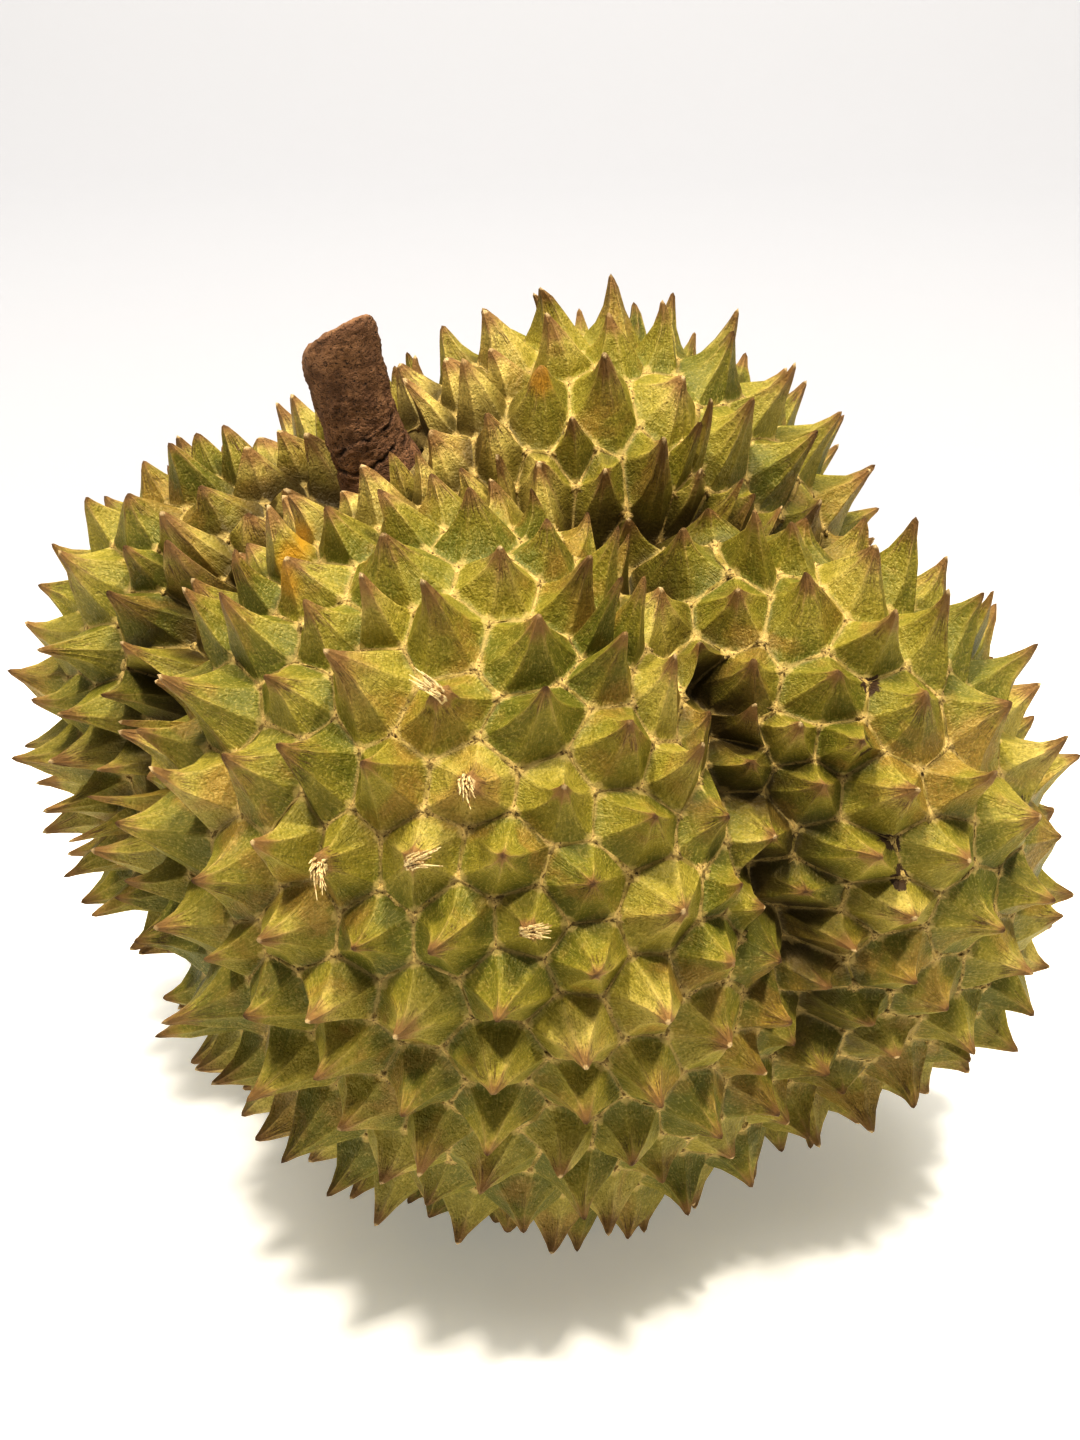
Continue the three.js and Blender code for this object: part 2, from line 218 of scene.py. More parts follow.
class Socket:
    """A number that comes out of a shader node. Python's operators on it add Math nodes."""

    def __init__(self, shader: Shader, output: Output) -> None:
        """Wraps an output socket of a shader's node."""
        self.shader = shader
        self.output = output

    def __add__(self, other: Number) -> Socket:
        """The sum."""
        return self.shader.math("ADD", self, other)

    def __sub__(self, other: Number) -> Socket:
        """The difference."""
        return self.shader.math("SUBTRACT", self, other)

    def __rsub__(self, other: Number) -> Socket:
        """The difference, taken from a plain number."""
        return self.shader.math("SUBTRACT", other, self)

    def __mul__(self, other: Number) -> Socket:
        """The product."""
        return self.shader.math("MULTIPLY", self, other)

    __radd__ = __add__
    __rmul__ = __mul__


Number = Socket | float


class Shader:
    """A material under construction, with one Principled surface."""

    def __init__(self, name: str) -> None:
        """Starts an empty material.

        Args:
            name: The material's name.
        """
        self.material = bpy.data.materials.new(name)
        self.material.use_nodes = True
        self.tree = self.material.node_tree
        self.tree.nodes.clear()

    def node(
        self,
        kind: str,
        settings: dict[str, object] | None = None,
        inputs: dict[str | int, object] | None = None,
    ) -> bpy.types.Node:
        """Adds a node, sets its settings and then its sockets.

        Args:
            kind: The node's type, without the ShaderNode at its start.
            settings: Its properties.
            inputs: A value, a Socket or a node's output for each named or numbered input.

        Returns:
            The node.
        """
        made = self.tree.nodes.new("ShaderNode" + kind)
        for name, value in (settings or {}).items():
            setattr(made, name, value)
        for name, value in (inputs or {}).items():
            if isinstance(value, Socket):
                value = value.output
            if isinstance(value, Output):
                self.tree.links.new(value, made.inputs[name])
            elif isinstance(value, tuple) and len(value) == 3 and made.inputs[name].type == "RGBA":
                made.inputs[name].default_value = (*value, 1)
            else:
                made.inputs[name].default_value = value
        return made

    def math(self, operation: str, first: Number, second: Number) -> Socket:
        """A Math node on two numbers."""
        made = self.node("Math", {"operation": operation}, {0: first, 1: second})
        return Socket(self, made.outputs[0])

    def attribute(self, name: str) -> Socket:
        """A number that the mesh carries."""
        return Socket(self, self.node("Attribute", {"attribute_name": name}).outputs["Fac"])

    def place(self, stretch: Triple = (1, 1, 1), uv: bool = False) -> Output:
        """Coordinates in millimetres.

        Args:
            stretch: What each of the three is multiplied by.
            uv: Whether they come from the piece's own UV map, and not from its place in space.

        Returns:
            The coordinates.
        """
        source = self.node("TexCoord").outputs["UV" if uv else "Object"]
        scale = tuple(share / MM for share in stretch)
        return self.node("Mapping", None, {"Vector": source, "Scale": scale}).outputs["Vector"]

    def part(self, vector: Output, axis: int) -> Socket:
        """One of a vector's three numbers."""
        return Socket(self, self.node("SeparateXYZ", None, {0: vector}).outputs[axis])

    def noise(self, place: Output, size: float, detail: float = 3, warp: float = 0) -> Socket:
        """Smooth noise from 0 to 1.

        Args:
            place: Where it is looked up, in millimetres.
            size: How large its patches are, in millimetres.
            detail: How many finer layers it has.
            warp: How far it is bent.

        Returns:
            The noise.
        """
        inputs = {"Vector": place, "Scale": 1 / size, "Detail": detail, "Distortion": warp}
        return Socket(self, self.node("TexNoise", None, inputs).outputs[0])

    def step(self, value: Number, low: float, high: float) -> Socket:
        """A share that rises smoothly.

        Args:
            value: What it depends on.
            low: The value at which it is 0.
            high: The value at which it is 1, which may be below low.

        Returns:
            The share.
        """
        inputs = {"Value": value, "From Min": low, "From Max": high}
        rise = self.node("MapRange", {"interpolation_type": "SMOOTHSTEP"}, inputs)
        return Socket(self, rise.outputs[0])

    def mix(self, share: Number, first: Colour | Output, second: Colour | Output) -> Output:
        """A colour that is first where share is 0 and second where it is 1."""
        made = self.node("Mix", {"data_type": "RGBA"}, {0: share, 6: first, 7: second})
        return made.outputs[2]

    def bump(self, height: Socket, depth: float, under: Output | None = None) -> Output:
        """A relief in the shading.

        Args:
            height: The relief, in units of depth.
            depth: What 1 stands for, in metres.
            under: The normal of a coarser relief below it.

        Returns:
            The new normal.
        """
        inputs = {"Height": height, "Distance": depth, "Strength": 1.0}
        if under is not None:
            inputs["Normal"] = under
        return self.node("Bump", None, inputs).outputs["Normal"]

    def surface(self, **inputs: object) -> bpy.types.Material:
        """Ends the material in a Principled surface.

        Args:
            inputs: Its sockets, with _ for the spaces in their names.

        Returns:
            The material.
        """
        named = {name.replace("_", " "): value for name, value in inputs.items()}
        shader = self.node("BsdfPrincipled", None, named)
        self.node("OutputMaterial", None, {"Surface": shader.outputs[0]})
        return self.material


# Finishes


class Wound(Enum):
    """What a mark on the rind is, and the attribute that carries it."""

    SCAR = "scar"
    BLUSH = "blush"


class HuskPattern:
    """The numbers that the husk's colours and relief are made from.

    Attributes:
        s: The husk's shader.
        height: 0 at the foot of a spine and 1 at its tip.
        ridge: 1 on the ridges of a spine and 0 between two of them.
        tint: One random number for each spine.
        shade: How deep in a crease, which sets how much painted shade it gets.
        crown: How near to the stem.
        patches: Broad noise, and so are aged and blotches, each finer than the one before.
        mottle: Noise of a few millimetres.
        flecks: Noise of half a millimetre, and so is grain.
        streaks: Fine lines up the flanks.
        scratched: How far a flank is scratched, on the upper part of some spines.
        above_seam: The distance above the foot, in millimetres, made uneven.
        corked: How far the skin is the seam's cork, widest at the corners of a foot.
        browning: How far the tip has browned.
        blushed: How far the skin is flushed orange.
        scarred: How far it is scarred.
    """

    def __init__(self, s: Shader, finish: HuskFinish) -> None:
        """Makes the noises, reads the mesh's attributes and combines them.

        Args:
            s: The husk's shader.
            finish: The sizes of the noises.
        """
        self.s = s
        place = s.place()
        self.height = s.attribute("height")
        self.ridge = s.attribute("ridge")
        self.tint = s.attribute("tint")
        self.shade = s.attribute("shade")
        self.crown = s.attribute("crown")
        self.patches = s.noise(place, finish.patch_size, 2)
        self.aged = s.noise(place, finish.aged_size, 3, 0.7)
        self.blotches = s.noise(place, finish.blotch_size, 3, 0.8)
        self.mottle = s.noise(place, finish.mottle_size, 4, 0.6)
        self.flecks = s.noise(place, finish.fleck_size, 3)
        self.grain = s.noise(place, finish.grain_size, 3)
        self.streaks = s.noise(s.place((1, 0.11, 1), uv=True), finish.streak_width, 3, 0.3)
        scratches = s.noise(s.place((1, 0.16, 1), uv=True), finish.scratch_width, 2, 0.5)
        some = s.step(self.blotches, 0.42, 0.58)
        self.scratched = s.step(scratches, 0.54, 0.62) * s.step(self.height, 0.25, 0.7) * some
        self.above_seam = s.part(s.place(uv=True), 1) + self.mottle * 1.2 - 0.6
        corner = s.step(self.ridge, 0.55, 1.0)
        cork_edge = self.above_seam - corner * 1.6 + self.flecks * 0.9 + self.blotches * 1.6
        self.corked = 1 - s.step(cork_edge, 1.2, 2.2)
        brown_edge = self.height + self.mottle * 0.4 + self.tint * 0.16 + self.ridge * 0.04
        self.browning = s.step(brown_edge, 0.88, 1.22)
        self.blushed = s.step(s.attribute(Wound.BLUSH.value), 0.1, 1.0)
        scar = s.attribute(Wound.SCAR.value)
        scar_edge = scar + self.mottle * 0.9 + self.flecks * 0.5 + self.streaks * 0.3
        self.scarred = s.step(scar_edge, 1.28, 1.44)


@dataclass(frozen=True)
class HuskFinish:
    """The rind's skin: green in the valleys, yellow up the flanks, brown at the tips.

    The colours are linear, and the sizes in millimetres.

    Attributes:
        green: Unripe skin.
        olive: Half ripe skin.
        yellow: Ripe skin.
        tan: Worn ridges.
        russet: Aged patches.
        tip: Brown tips.
        tip_dark: The darkest of them.
        tip_pale: The broken and dried ones.
        crease: Painted shade on the ground between the lobes and round the stem.
        cork: Dry skin along the seams.
        groove: Painted shade in the line at the foot of a flank.
        scratch: Scratches.
        scar: Scars.
        blush: Orange spots.
        patch_size: Of the riper and the greener patches.
        aged_size: Of the aged patches.
        blotch_size: Of the blotches that break up the others.
        mottle_size: Of the mottling.
        fleck_size: Of the flecks.
        grain_size: Of the finest grain.
        scratch_width: Of a scratch.
        streak_width: Of a streak.
    """

    green: Colour = (0.145, 0.145, 0.012)
    olive: Colour = (0.32, 0.27, 0.036)
    yellow: Colour = (0.67, 0.54, 0.18)
    tan: Colour = (0.64, 0.46, 0.18)
    russet: Colour = (0.36, 0.21, 0.05)
    tip: Colour = (0.32, 0.18, 0.065)
    tip_dark: Colour = (0.15, 0.075, 0.022)
    tip_pale: Colour = (0.74, 0.56, 0.30)
    crease: Colour = (0.09, 0.06, 0.010)
    cork: Colour = (0.54, 0.42, 0.165)
    groove: Colour = (0.13, 0.09, 0.018)
    scratch: Colour = (0.13, 0.065, 0.025)
    scar: Colour = (0.075, 0.042, 0.016)
    blush: Colour = (0.64, 0.36, 0.03)
    patch_size: float = 38
    aged_size: float = 26
    blotch_size: float = 13
    mottle_size: float = 5
    fleck_size: float = 0.65
    grain_size: float = 0.5
    scratch_width: float = 0.8
    streak_width: float = 0.5

    def material(self) -> bpy.types.Material:
        """Builds the skin's material.

        Returns:
            A material that reads the attributes height, ridge, tint, shade, crown, scar and blush,
            and the distance above the seam from the UV map.
        """
        s = Shader("husk")
        p = HuskPattern(s, self)
        skin = self.worn(p, self.ripened(p))
        skin = self.tipped(p, self.painted_shade_and_cork(p, skin))
        skin = s.mix(p.blushed * 0.75, skin, self.blush)
        skin = s.mix(p.scarred, skin, self.scar)
        roughness = 0.4 + p.grain * 0.2 + p.browning * 0.12 + p.corked * 0.2 + p.scarred * 0.2
        normal = s.bump(s.noise(s.place(), 2.6, 3, 0.4), 0.6 * MM)
        normal = s.bump(p.streaks - p.scratched * 0.8, 0.22 * MM, normal)
        normal = s.bump(p.grain + p.flecks, 0.22 * MM, normal)
        return s.surface(
            Base_Color=skin, Roughness=roughness, Specular_IOR_Level=0.45, Normal=normal
        )

    def ripened(self, p: HuskPattern) -> Output:
        """The ground colour: greener low on a spine, riper high on it and near the stem.

        Args:
            p: The husk's pattern.

        Returns:
            The colour, with russet patches and flecks.
        """
        s = p.s
        ripeness = p.height * 0.5 + p.ridge * 0.12 + p.tint * 0.34
        ripeness = ripeness + p.patches * 1.1 + p.mottle * 0.25 - 0.76 + p.crown * 0.35
        skin = s.mix(s.step(ripeness, 0.0, 0.45), self.green, self.olive)
        skin = s.mix(s.step(ripeness, 0.35, 0.95), skin, self.yellow)
        skin = s.mix(s.step(p.aged + p.blotches * 0.5, 0.76, 0.94) * 0.6, skin, self.russet)
        skin = s.mix(s.step(p.flecks, 0.5, 0.66) * 0.4, skin, self.green)
        return s.mix(s.step(p.flecks, 0.48, 0.3) * 0.3, skin, self.yellow)

    def worn(self, p: HuskPattern, skin: Output) -> Output:
        """The skin with rubbed ridges, streaks up the flanks and scratches.

        Args:
            p: The husk's pattern.
            skin: The colour so far.

        Returns:
            The new colour.
        """
        s = p.s
        rubbed = s.step(p.ridge, 0.6, 1.0) * s.step(p.height, 0.3, 0.9) * p.mottle
        skin = s.mix(rubbed, skin, self.tan)
        skin = s.mix(s.step(p.streaks, 0.5, 0.78) * 0.3, skin, self.yellow)
        skin = s.mix(s.step(p.streaks, 0.5, 0.25) * 0.3, skin, self.green)
        return s.mix(p.scratched * 0.8, skin, self.scratch)

    def painted_shade_and_cork(self, p: HuskPattern, skin: Output) -> Output:
        """The skin with painted shade in its creases, round the stem and at each flank's foot, and
        seam cork.

        Args:
            p: The husk's pattern.
            skin: The colour so far.

        Returns:
            The new colour.
        """
        s = p.s
        # Painted shade: darker the deeper a point lies in a crease between the lobes.
        skin = s.mix(s.step(p.shade + p.mottle * 0.5, 0.5, 1.2), skin, self.crease)
        # Painted shade between the feet of the crowded spines round the stem.
        skin = s.mix(p.crown * (0.8 - s.step(p.height, 0.1, 0.6) * 0.8), skin, self.crease)
        # Painted shade in the groove at the foot of each flank, beside the seam.
        skin = s.mix((1 - s.step(p.above_seam, 0.4, 0.9)) * 0.4, skin, self.groove)
        return s.mix(p.corked * 0.65, skin, self.cork)

    def tipped(self, p: HuskPattern, skin: Output) -> Output:
        """The skin with brown tips, the darkest and the palest ones by the spine's tint.

        Args:
            p: The husk's pattern.
            skin: The colour so far.

        Returns:
            The new colour.
        """
        s = p.s
        skin = s.mix(p.browning * 0.9, skin, self.tip)
        darkest = s.step(p.height, 0.9, 1.0) * s.step(p.tint, 0.6, 0.3)
        skin = s.mix(darkest, skin, self.tip_dark)
        palest = s.step(p.height, 0.93, 0.97) * s.step(p.tint, 0.5, 0.75)
        return s.mix(palest, skin, self.tip_pale)


@dataclass(frozen=True)
class SeamFinish:
    """The dry corky seam where two spines meet, in linear colours.

    Attributes:
        pale: Dry cork.
        tan: Darker dry cork.
        olive: The middle of a seam, nearly the husk's own colour.
        crack: The dark specks.
    """

    pale: Colour = (0.55, 0.42, 0.165)
    tan: Colour = (0.44, 0.325, 0.12)
    olive: Colour = (0.28, 0.22, 0.05)
    crack: Colour = (0.12, 0.08, 0.022)

    def material(self) -> bpy.types.Material:
        """Builds the seams' material.

        Returns:
            A material that reads the attribute end.
        """
        s = Shader("seam_cork")
        place = s.place()
        mottle = s.noise(place, 4.0, 3)
        fine = s.noise(place, 0.7, 3, 0.5)
        cork = s.mix(s.step(fine, 0.42, 0.6), self.tan, self.pale)
        dry = s.step(s.attribute("end") * 0.5 + mottle, 0.42, 0.7)
        colour = s.mix(dry, self.olive, cork)
        colour = s.mix(s.step(fine, 0.46, 0.3), colour, self.crack)
        normal = s.bump(fine, 0.25 * MM)
        return s.surface(Base_Color=colour, Roughness=0.75 + mottle * 0.15, Normal=normal)


@dataclass(frozen=True)
class BarkFinish:
    """The stem's brown cork, in linear colours.

    Attributes:
        light: Its paler patches.
        dark: Its darker ones.
        crack: Painted shade in the cracks, and the deepest specks.
        cut: The wood of the cut end.
    """

    light: Colour = (0.36, 0.205, 0.105)
    dark: Colour = (0.19, 0.10, 0.05)
    crack: Colour = (0.03, 0.014, 0.007)
    cut: Colour = (0.34, 0.19, 0.09)

    def material(self) -> bpy.types.Material:
        """Builds the stem's material.

        Returns:
            A material that reads the attributes cut and groove.
        """
        s = Shader("stem_bark")
        place = s.place()
        patches = s.noise(place, 6.0, 4, 0.5)
        fine = s.noise(s.place((1, 1, 1.5)), 1.1, 4, 0.9)
        specks = s.noise(place, 0.5, 3)
        colour = s.mix(s.step(patches, 0.35, 0.68), self.dark, self.light)
        colour = s.mix(s.step(fine, 0.5, 0.34), colour, self.dark)
        colour = s.mix(s.step(specks, 0.48, 0.36) * s.step(fine, 0.55, 0.4), colour, self.crack)
        colour = s.mix(s.attribute("cut") * s.step(patches, 0.2, 0.55), colour, self.cut)
        # Painted shade: the cracks round the foot are darkened to near black.
        colour = s.mix(s.attribute("groove"), colour, self.crack)
        normal = s.bump(fine, 0.9 * MM)
        normal = s.bump(specks, 0.4 * MM, normal)
        return s.surface(Base_Color=colour, Roughness=0.78 + specks * 0.15, Normal=normal)


@dataclass(frozen=True)
class FibreFinish:
    """The dry fibres of a broken tip, in linear colours.

    Attributes:
        pale: Straw.
        brown: The flecks in it.
    """

    pale: Colour = (0.70, 0.57, 0.31)
    brown: Colour = (0.34, 0.20, 0.08)

    def material(self) -> bpy.types.Material:
        """Builds the fibres' material.

        Returns:
            The material, which reads nothing from the mesh.
        """
        s = Shader("dry_fibre")
        flecks = s.noise(s.place(), 1.2, 3)
        colour = s.mix(s.step(flecks, 0.5, 0.34), self.pale, self.brown)
        return s.surface(Base_Color=colour, Roughness=0.7 + flecks * 0.1)


@dataclass(frozen=True)
class TableFinish:
    """The plain white table, and the wall that it sweeps up into.

    Attributes:
        white: The table's linear colour.
        wall: The wall's, which is a little greyer.
        white_until: How far behind the fruit's middle the table stays white, in millimetres.
        grey_from: Where it has become as grey as the wall.
        glow: The table's own emission, painted light that lifts its shadows as a room's white walls
            would.
    """

    white: Colour = (0.90, 0.895, 0.875)
    wall: Colour = (0.40, 0.405, 0.42)
    white_until: float = 120
    grey_from: float = 450
    glow: float = 0.26

    def material(self) -> bpy.types.Material:
        """Builds the table's material.

        Returns:
            The material, with the faintest unevenness in its gloss.
        """
        s = Shader("white_table")
        place = s.place()
        cloud = s.noise(place, 90, 2)
        depth = s.part(place, 1)
        colour = s.mix(s.step(depth, self.white_until, self.grey_from), self.white, self.wall)
        # The table glows by its own emission, painted light that lifts its shadows; it is no lamp.
        return s.surface(
            Base_Color=colour,
            Roughness=0.45 + cloud * 0.1,
            Emission_Color=colour,
            Emission_Strength=self.glow,
        )


# The rind, read from the frame


@dataclass
class SpineField:
    """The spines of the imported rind: what each wedge between two ridges joins.

    A spine is a ring of wedges. A wedge has a ridge at its start, from a corner of the spine's foot
    over a waist point to the tip, and the next wedge's ridge at its end.

    Attributes:
        points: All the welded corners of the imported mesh.
        corner: For each wedge, the number of the foot corner that its ridge starts from.
        waist: The number of its waist point.
        after: The number of the next wedge round the same spine.
        spine: The number of the spine that it belongs to.
        tip: For each spine, the number of its tip point.
        seat: The triangles round the stem that belong to no spine.
    """

    points: Array
    corner: Array
    waist: Array
    after: Array
    spine: Array
    tip: Array
    seat: Array

    @classmethod
    def read(cls, node: bpy.types.Object) -> SpineField:
        """Finds the spines in a node's mesh by how its points are joined.

        A corner of a foot has nine or more neighbours, and some of those have nine or more too. A
        waist point has some corner among its neighbours, and a tip has only waist points round it.

        Args:
            node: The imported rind.

        Returns:
            The spines.
        """
        points, triangles = cls.welded(node)
        count = len(points)
        starts = triangles.ravel()
        ends = np.roll(triangles, -1, axis=1).ravel()
        thirds = np.roll(triangles, -2, axis=1).ravel()
        degree = np.bincount(starts, minlength=count)
        fewest_round_a_corner = 9
        busy = degree >= fewest_round_a_corner
        is_corner = busy & (np.bincount(starts, busy[ends], count) > 0)
        by_corner = np.bincount(starts, is_corner[ends], count) > 0
        is_side = by_corner & ~is_corner
        around = np.bincount(starts, is_side[ends], count)
        is_tip = ~is_corner & ~by_corner & (around == degree)
        fan = is_tip[triangles].any(1)
        turn = np.argmax(is_tip[triangles], axis=1)[:, None]
        turned = np.take_along_axis(triangles, (turn + np.array([1, 2, 0])) % 3, axis=1)[fan]
        first, second, top = turned.T
        key = starts * count + ends
        order = np.argsort(key)
        found = np.searchsorted(key[order], second * count + first)
        tips, spine = np.unique(top, return_inverse=True)
        wedge_of = np.full(count, -1)
        wedge_of[first] = np.arange(len(first))
        in_spine = is_tip.copy()
        in_spine[first] = True
        return cls(
            points=points,
            corner=thirds[order][found],
            waist=first,
            after=wedge_of[second],
            spine=spine,
            tip=tips,
            seat=triangles[~in_spine[triangles].any(1)],
        )

    @staticmethod
    def welded(node: bpy.types.Object) -> tuple[Array, Array]:
        """A node's mesh with the corners of its loose triangles joined.

        Args:
            node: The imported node.

        Returns:
            Its points, and the numbers of each triangle's corners.
        """
        joined = bmesh.new()
        joined.from_mesh(node.data)
        bmesh.ops.remove_doubles(joined, verts=joined.verts, dist=0.01 * MM)
        mesh = bpy.data.meshes.new("welded")
        joined.to_mesh(mesh)
        joined.free()
        points = np.empty(len(mesh.vertices) * 3)
        mesh.vertices.foreach_get("co", points)
        corners = np.empty(len(mesh.loops), int)
        mesh.loops.foreach_get("vertex_index", corners)
        bpy.data.meshes.remove(mesh)
        return points.reshape(-1, 3), corners.reshape(-1, 3)

    def mean_per_spine(self, values: Array) -> Array:
        """The mean over each spine's wedges.

        Args:
            values: One row for each wedge.

        Returns:
            One row for each spine.
        """
        sums = np.zeros((len(self.tip), values.shape[1]))
        np.add.at(sums, self.spine, values)
        return sums / np.bincount(self.spine)[:, None]


@dataclass(frozen=True)
class Mark:
    """A spot on the side towards -y, by its place across and up, in millimetres.

    Attributes:
        across: Along x.
        up: Along z.
        radius: How far it spreads.
    """

    across: float
    up: float
    radius: float = 6

    def distance(self, points: Array) -> Array:
        """How far each point is from the mark as seen along y, in metres."""
        target = np.array([self.across, self.up]) * MM
        return np.linalg.norm(points[:, (0, 2)] - target, axis=1)


@dataclass
class Rind:
    """The spiny rind: one closed skin, four columns of faces to a flank and six rows up a spine.

    Attributes:
        waist_height: The height of the waist points, as a share of a spine's.
        rows: The heights of the rows of points, as shares.
        columns: Where a flank's points lie between its two ridges.
        hollow: How far the middle of a flank sinks towards the spine's centre line, as a share.
        hollow_from: The height from which it sinks by all of that.
        fullness: Below 1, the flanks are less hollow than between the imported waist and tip.
        least_taper: The least hollow flanks, where 1 would be straight.
        ridge_spread: How much the ridges of a spine differ in how far they stand out.
        ridge_range: The least and the greatest of those differences, before ridge_spread.
        ridge_seed: Picks them.
        tip_radius: How blunt a tip is.
        tip_roundness: How suddenly a blunt tip closes.
        broken: The tips that are broken off.
        broken_height: How much of a broken spine is left.
        broken_width: How wide its end is, as a share of the foot's width.
        broken_roundness: How suddenly its end closes.
        waviness: How far the spines are bent aside.
        waves: The waves that bend them along x, y and z.
        unevenness: How far the skin departs from its smooth shape.
        swell: The broad part of that.
        dimples: The finer part.
        dimple_share: How strong it is against the broad one.
        ground_zone: The heights from which the skin starts to wave and waves fully.
        marks: The scars and the orange spots.
        crown_radius: How far the brown ground round the stem reaches.
        crease_depth: How far below the lobes a point in the deepest shade lies.
        probes: How many directions the lobes are measured in.
        probe_angle: How far from such a direction a lobe still counts, in degrees.
        tint_seed: Picks each spine's tint.
    """

    waist_height: float = 0.36
    rows: tuple[float, ...] = (0, 0.1, 0.3, 0.56, 0.8, 0.95, 1)
    columns: tuple[float, ...] = (0, 0.07, 0.5, 0.93, 1)
    hollow: float = 0.09
    hollow_from: float = 0.3
    fullness: float = 0.84
    least_taper: float = 1.12
    ridge_spread: float = 0.16
    ridge_range: tuple[float, float] = (-1, 0.6)
    ridge_seed: int = 9
    tip_radius: float = 0.9 * MM
    tip_roundness: float = 24
    broken: tuple[Mark, ...] = (
        Mark(-19, 185),
        Mark(-13, 170),
        Mark(-24, 152),
        Mark(0, 139),
        Mark(-45, 153),
    )
    broken_height: float = 0.8
    broken_width: float = 0.22
    broken_roundness: float = 12
    waviness: float = 0.8 * MM
    waves: tuple[Ripple, ...] = tuple(Ripple(34 * MM, 7, seed) for seed in (31, 32, 33))
    unevenness: float = 0.45 * MM
    swell: Ripple = Ripple(16 * MM, 9, 3)
    dimples: Ripple = Ripple(6 * MM, 9, 4)
    dimple_share: float = 0.6
    ground_zone: tuple[float, float] = (1 * MM, 12 * MM)
    marks: dict[Wound, tuple[Mark, ...]] = field(
        default_factory=lambda: {
            Wound.SCAR: (
                Mark(80, 165, 4),
                Mark(78, 157, 4),
                Mark(85, 134, 4.5),
                Mark(87, 125, 4),
                Mark(120, 128, 4),
            ),
            Wound.BLUSH: (Mark(3, 219, 7), Mark(-54, 190, 7)),
        }
    )
    crown_radius: float = 28 * MM
    crease_depth: float = 26 * MM
    probes: int = 1500
    probe_angle: float = 13
    tint_seed: int = 7

    def __post_init__(self) -> None:
        """Reads the spines and works out the law that each one follows.

        The centre line of a spine is middle + h * rise + h * h * bend, which passes the middle of
        its foot at h = 0, that of its waist points at waist_height, and its tip at h = 1.
        """
        self.field = SpineField.read(bpy.data.objects["rind"])
        cells = self.field
        self.centre = cells.points.mean(0)
        feet = cells.points[cells.corner]
        waists = cells.points[cells.waist]
        self.middle = cells.mean_per_spine(feet)
        self.tip = cells.points[cells.tip]
        waist_middle = cells.mean_per_spine(waists)
        share = self.waist_height
        whole = self.tip - self.middle
        self.rise = (waist_middle - self.middle - share**2 * whole) / (share - share**2)
        self.bend = self.tip - self.middle - self.rise
        foot_reach = np.linalg.norm(feet - self.middle[cells.spine], axis=1, keepdims=True)
        waist_reach = np.linalg.norm(waists - waist_middle[cells.spine], axis=1, keepdims=True)
        ratio = cells.mean_per_spine(waist_reach / foot_reach)[:, 0]
        packed_taper = np.log(ratio) / math.log(1 - share)
        self.taper = np.maximum(self.fullness * packed_taper, self.least_taper)
        on_the_ground = 0.1 * MM
        self.crushed = np.abs(waist_middle[:, 2]) < on_the_ground
        self.outward = unit(np.where(self.crushed[:, None], self.middle, self.rise))
        self.is_broken = self.nearest_spines(self.broken)

    def nearest_spines(self, marks: Sequence[Mark]) -> Array:
        """Which spines have their tip nearest to one of the marks, on the side towards -y.

        Args:
            marks: The marks.

        Returns:
            One truth for each spine.
        """
        picked = np.zeros(len(self.tip), bool)
        metre_behind = np.where(self.tip[:, 1] < 0, 0, 1)
        for mark in marks:
            picked[np.argmin(mark.distance(self.tip) + metre_behind)] = True
        return picked

    def centre_line(self, wedges: Array, heights: Array) -> Array:
        """The centre line of the wedges' spines: middle + height * rise + height^2 * bend.

        Args:
            wedges: The numbers of the wedges.
            heights: For each wedge, the heights up its spine, as shares.

        Returns:
            An array (wedges, heights, 3).
        """
        spine = self.field.spine[wedges]
        h = heights[..., None]
        middle, rise, bend = (part[spine, None] for part in (self.middle, self.rise, self.bend))
        return middle + h * rise + h * h * bend

    def ridges(self) -> Array:
        """The points up every ridge.

        A ridge is the centre line plus the foot corner's own distance from the middle times
        (1 - height) to the power taper, bulged or thinned by an arch over the height, and a blunt
        tip's radius. A crushed spine's ridge is straight from its corner to its waist and from
        there to its tip.

        Returns:
            An array (wedges, rows, 3).
        """
        cells = self.field
        wedges = np.arange(len(cells.corner))
        rows = np.array(self.rows)
        broken = self.is_broken[cells.spine]
        heights = rows * np.where(broken, self.broken_height, 1)[:, None]
        centre = self.centre_line(wedges, heights)
        spoke = cells.points[cells.corner] - self.middle[cells.spine]
        lateral = (1 - rows) ** self.taper[cells.spine][:, None]
        rng = np.random.default_rng(self.ridge_seed)
        strength = rng.uniform(*self.ridge_range, (len(wedges), 1))
        lateral = lateral * (1 + self.ridge_spread * strength * arch(rows))
        stump = self.broken_width * (1 - rows**self.broken_roundness)
        lateral = np.where(broken[:, None], np.maximum(lateral, stump), lateral)
        reach = np.linalg.norm(spoke, axis=1, keepdims=True)
        blunt = self.tip_radius / reach * rows * (1 - rows**self.tip_roundness)
        free = centre + (lateral + blunt)[..., None] * spoke[:, None]
        waist = cells.points[cells.waist][:, None]
        below = np.minimum(rows / self.waist_height, 1)[:, None]
        above = np.maximum((rows - self.waist_height) / (1 - self.waist_height), 0)[:, None]
        foot = cells.points[cells.corner][:, None]
        tip = self.tip[cells.spine][:, None]
        bent = foot + (waist - foot) * below + (tip - waist) * above
        return np.where(self.crushed[cells.spine][:, None, None], bent, free)

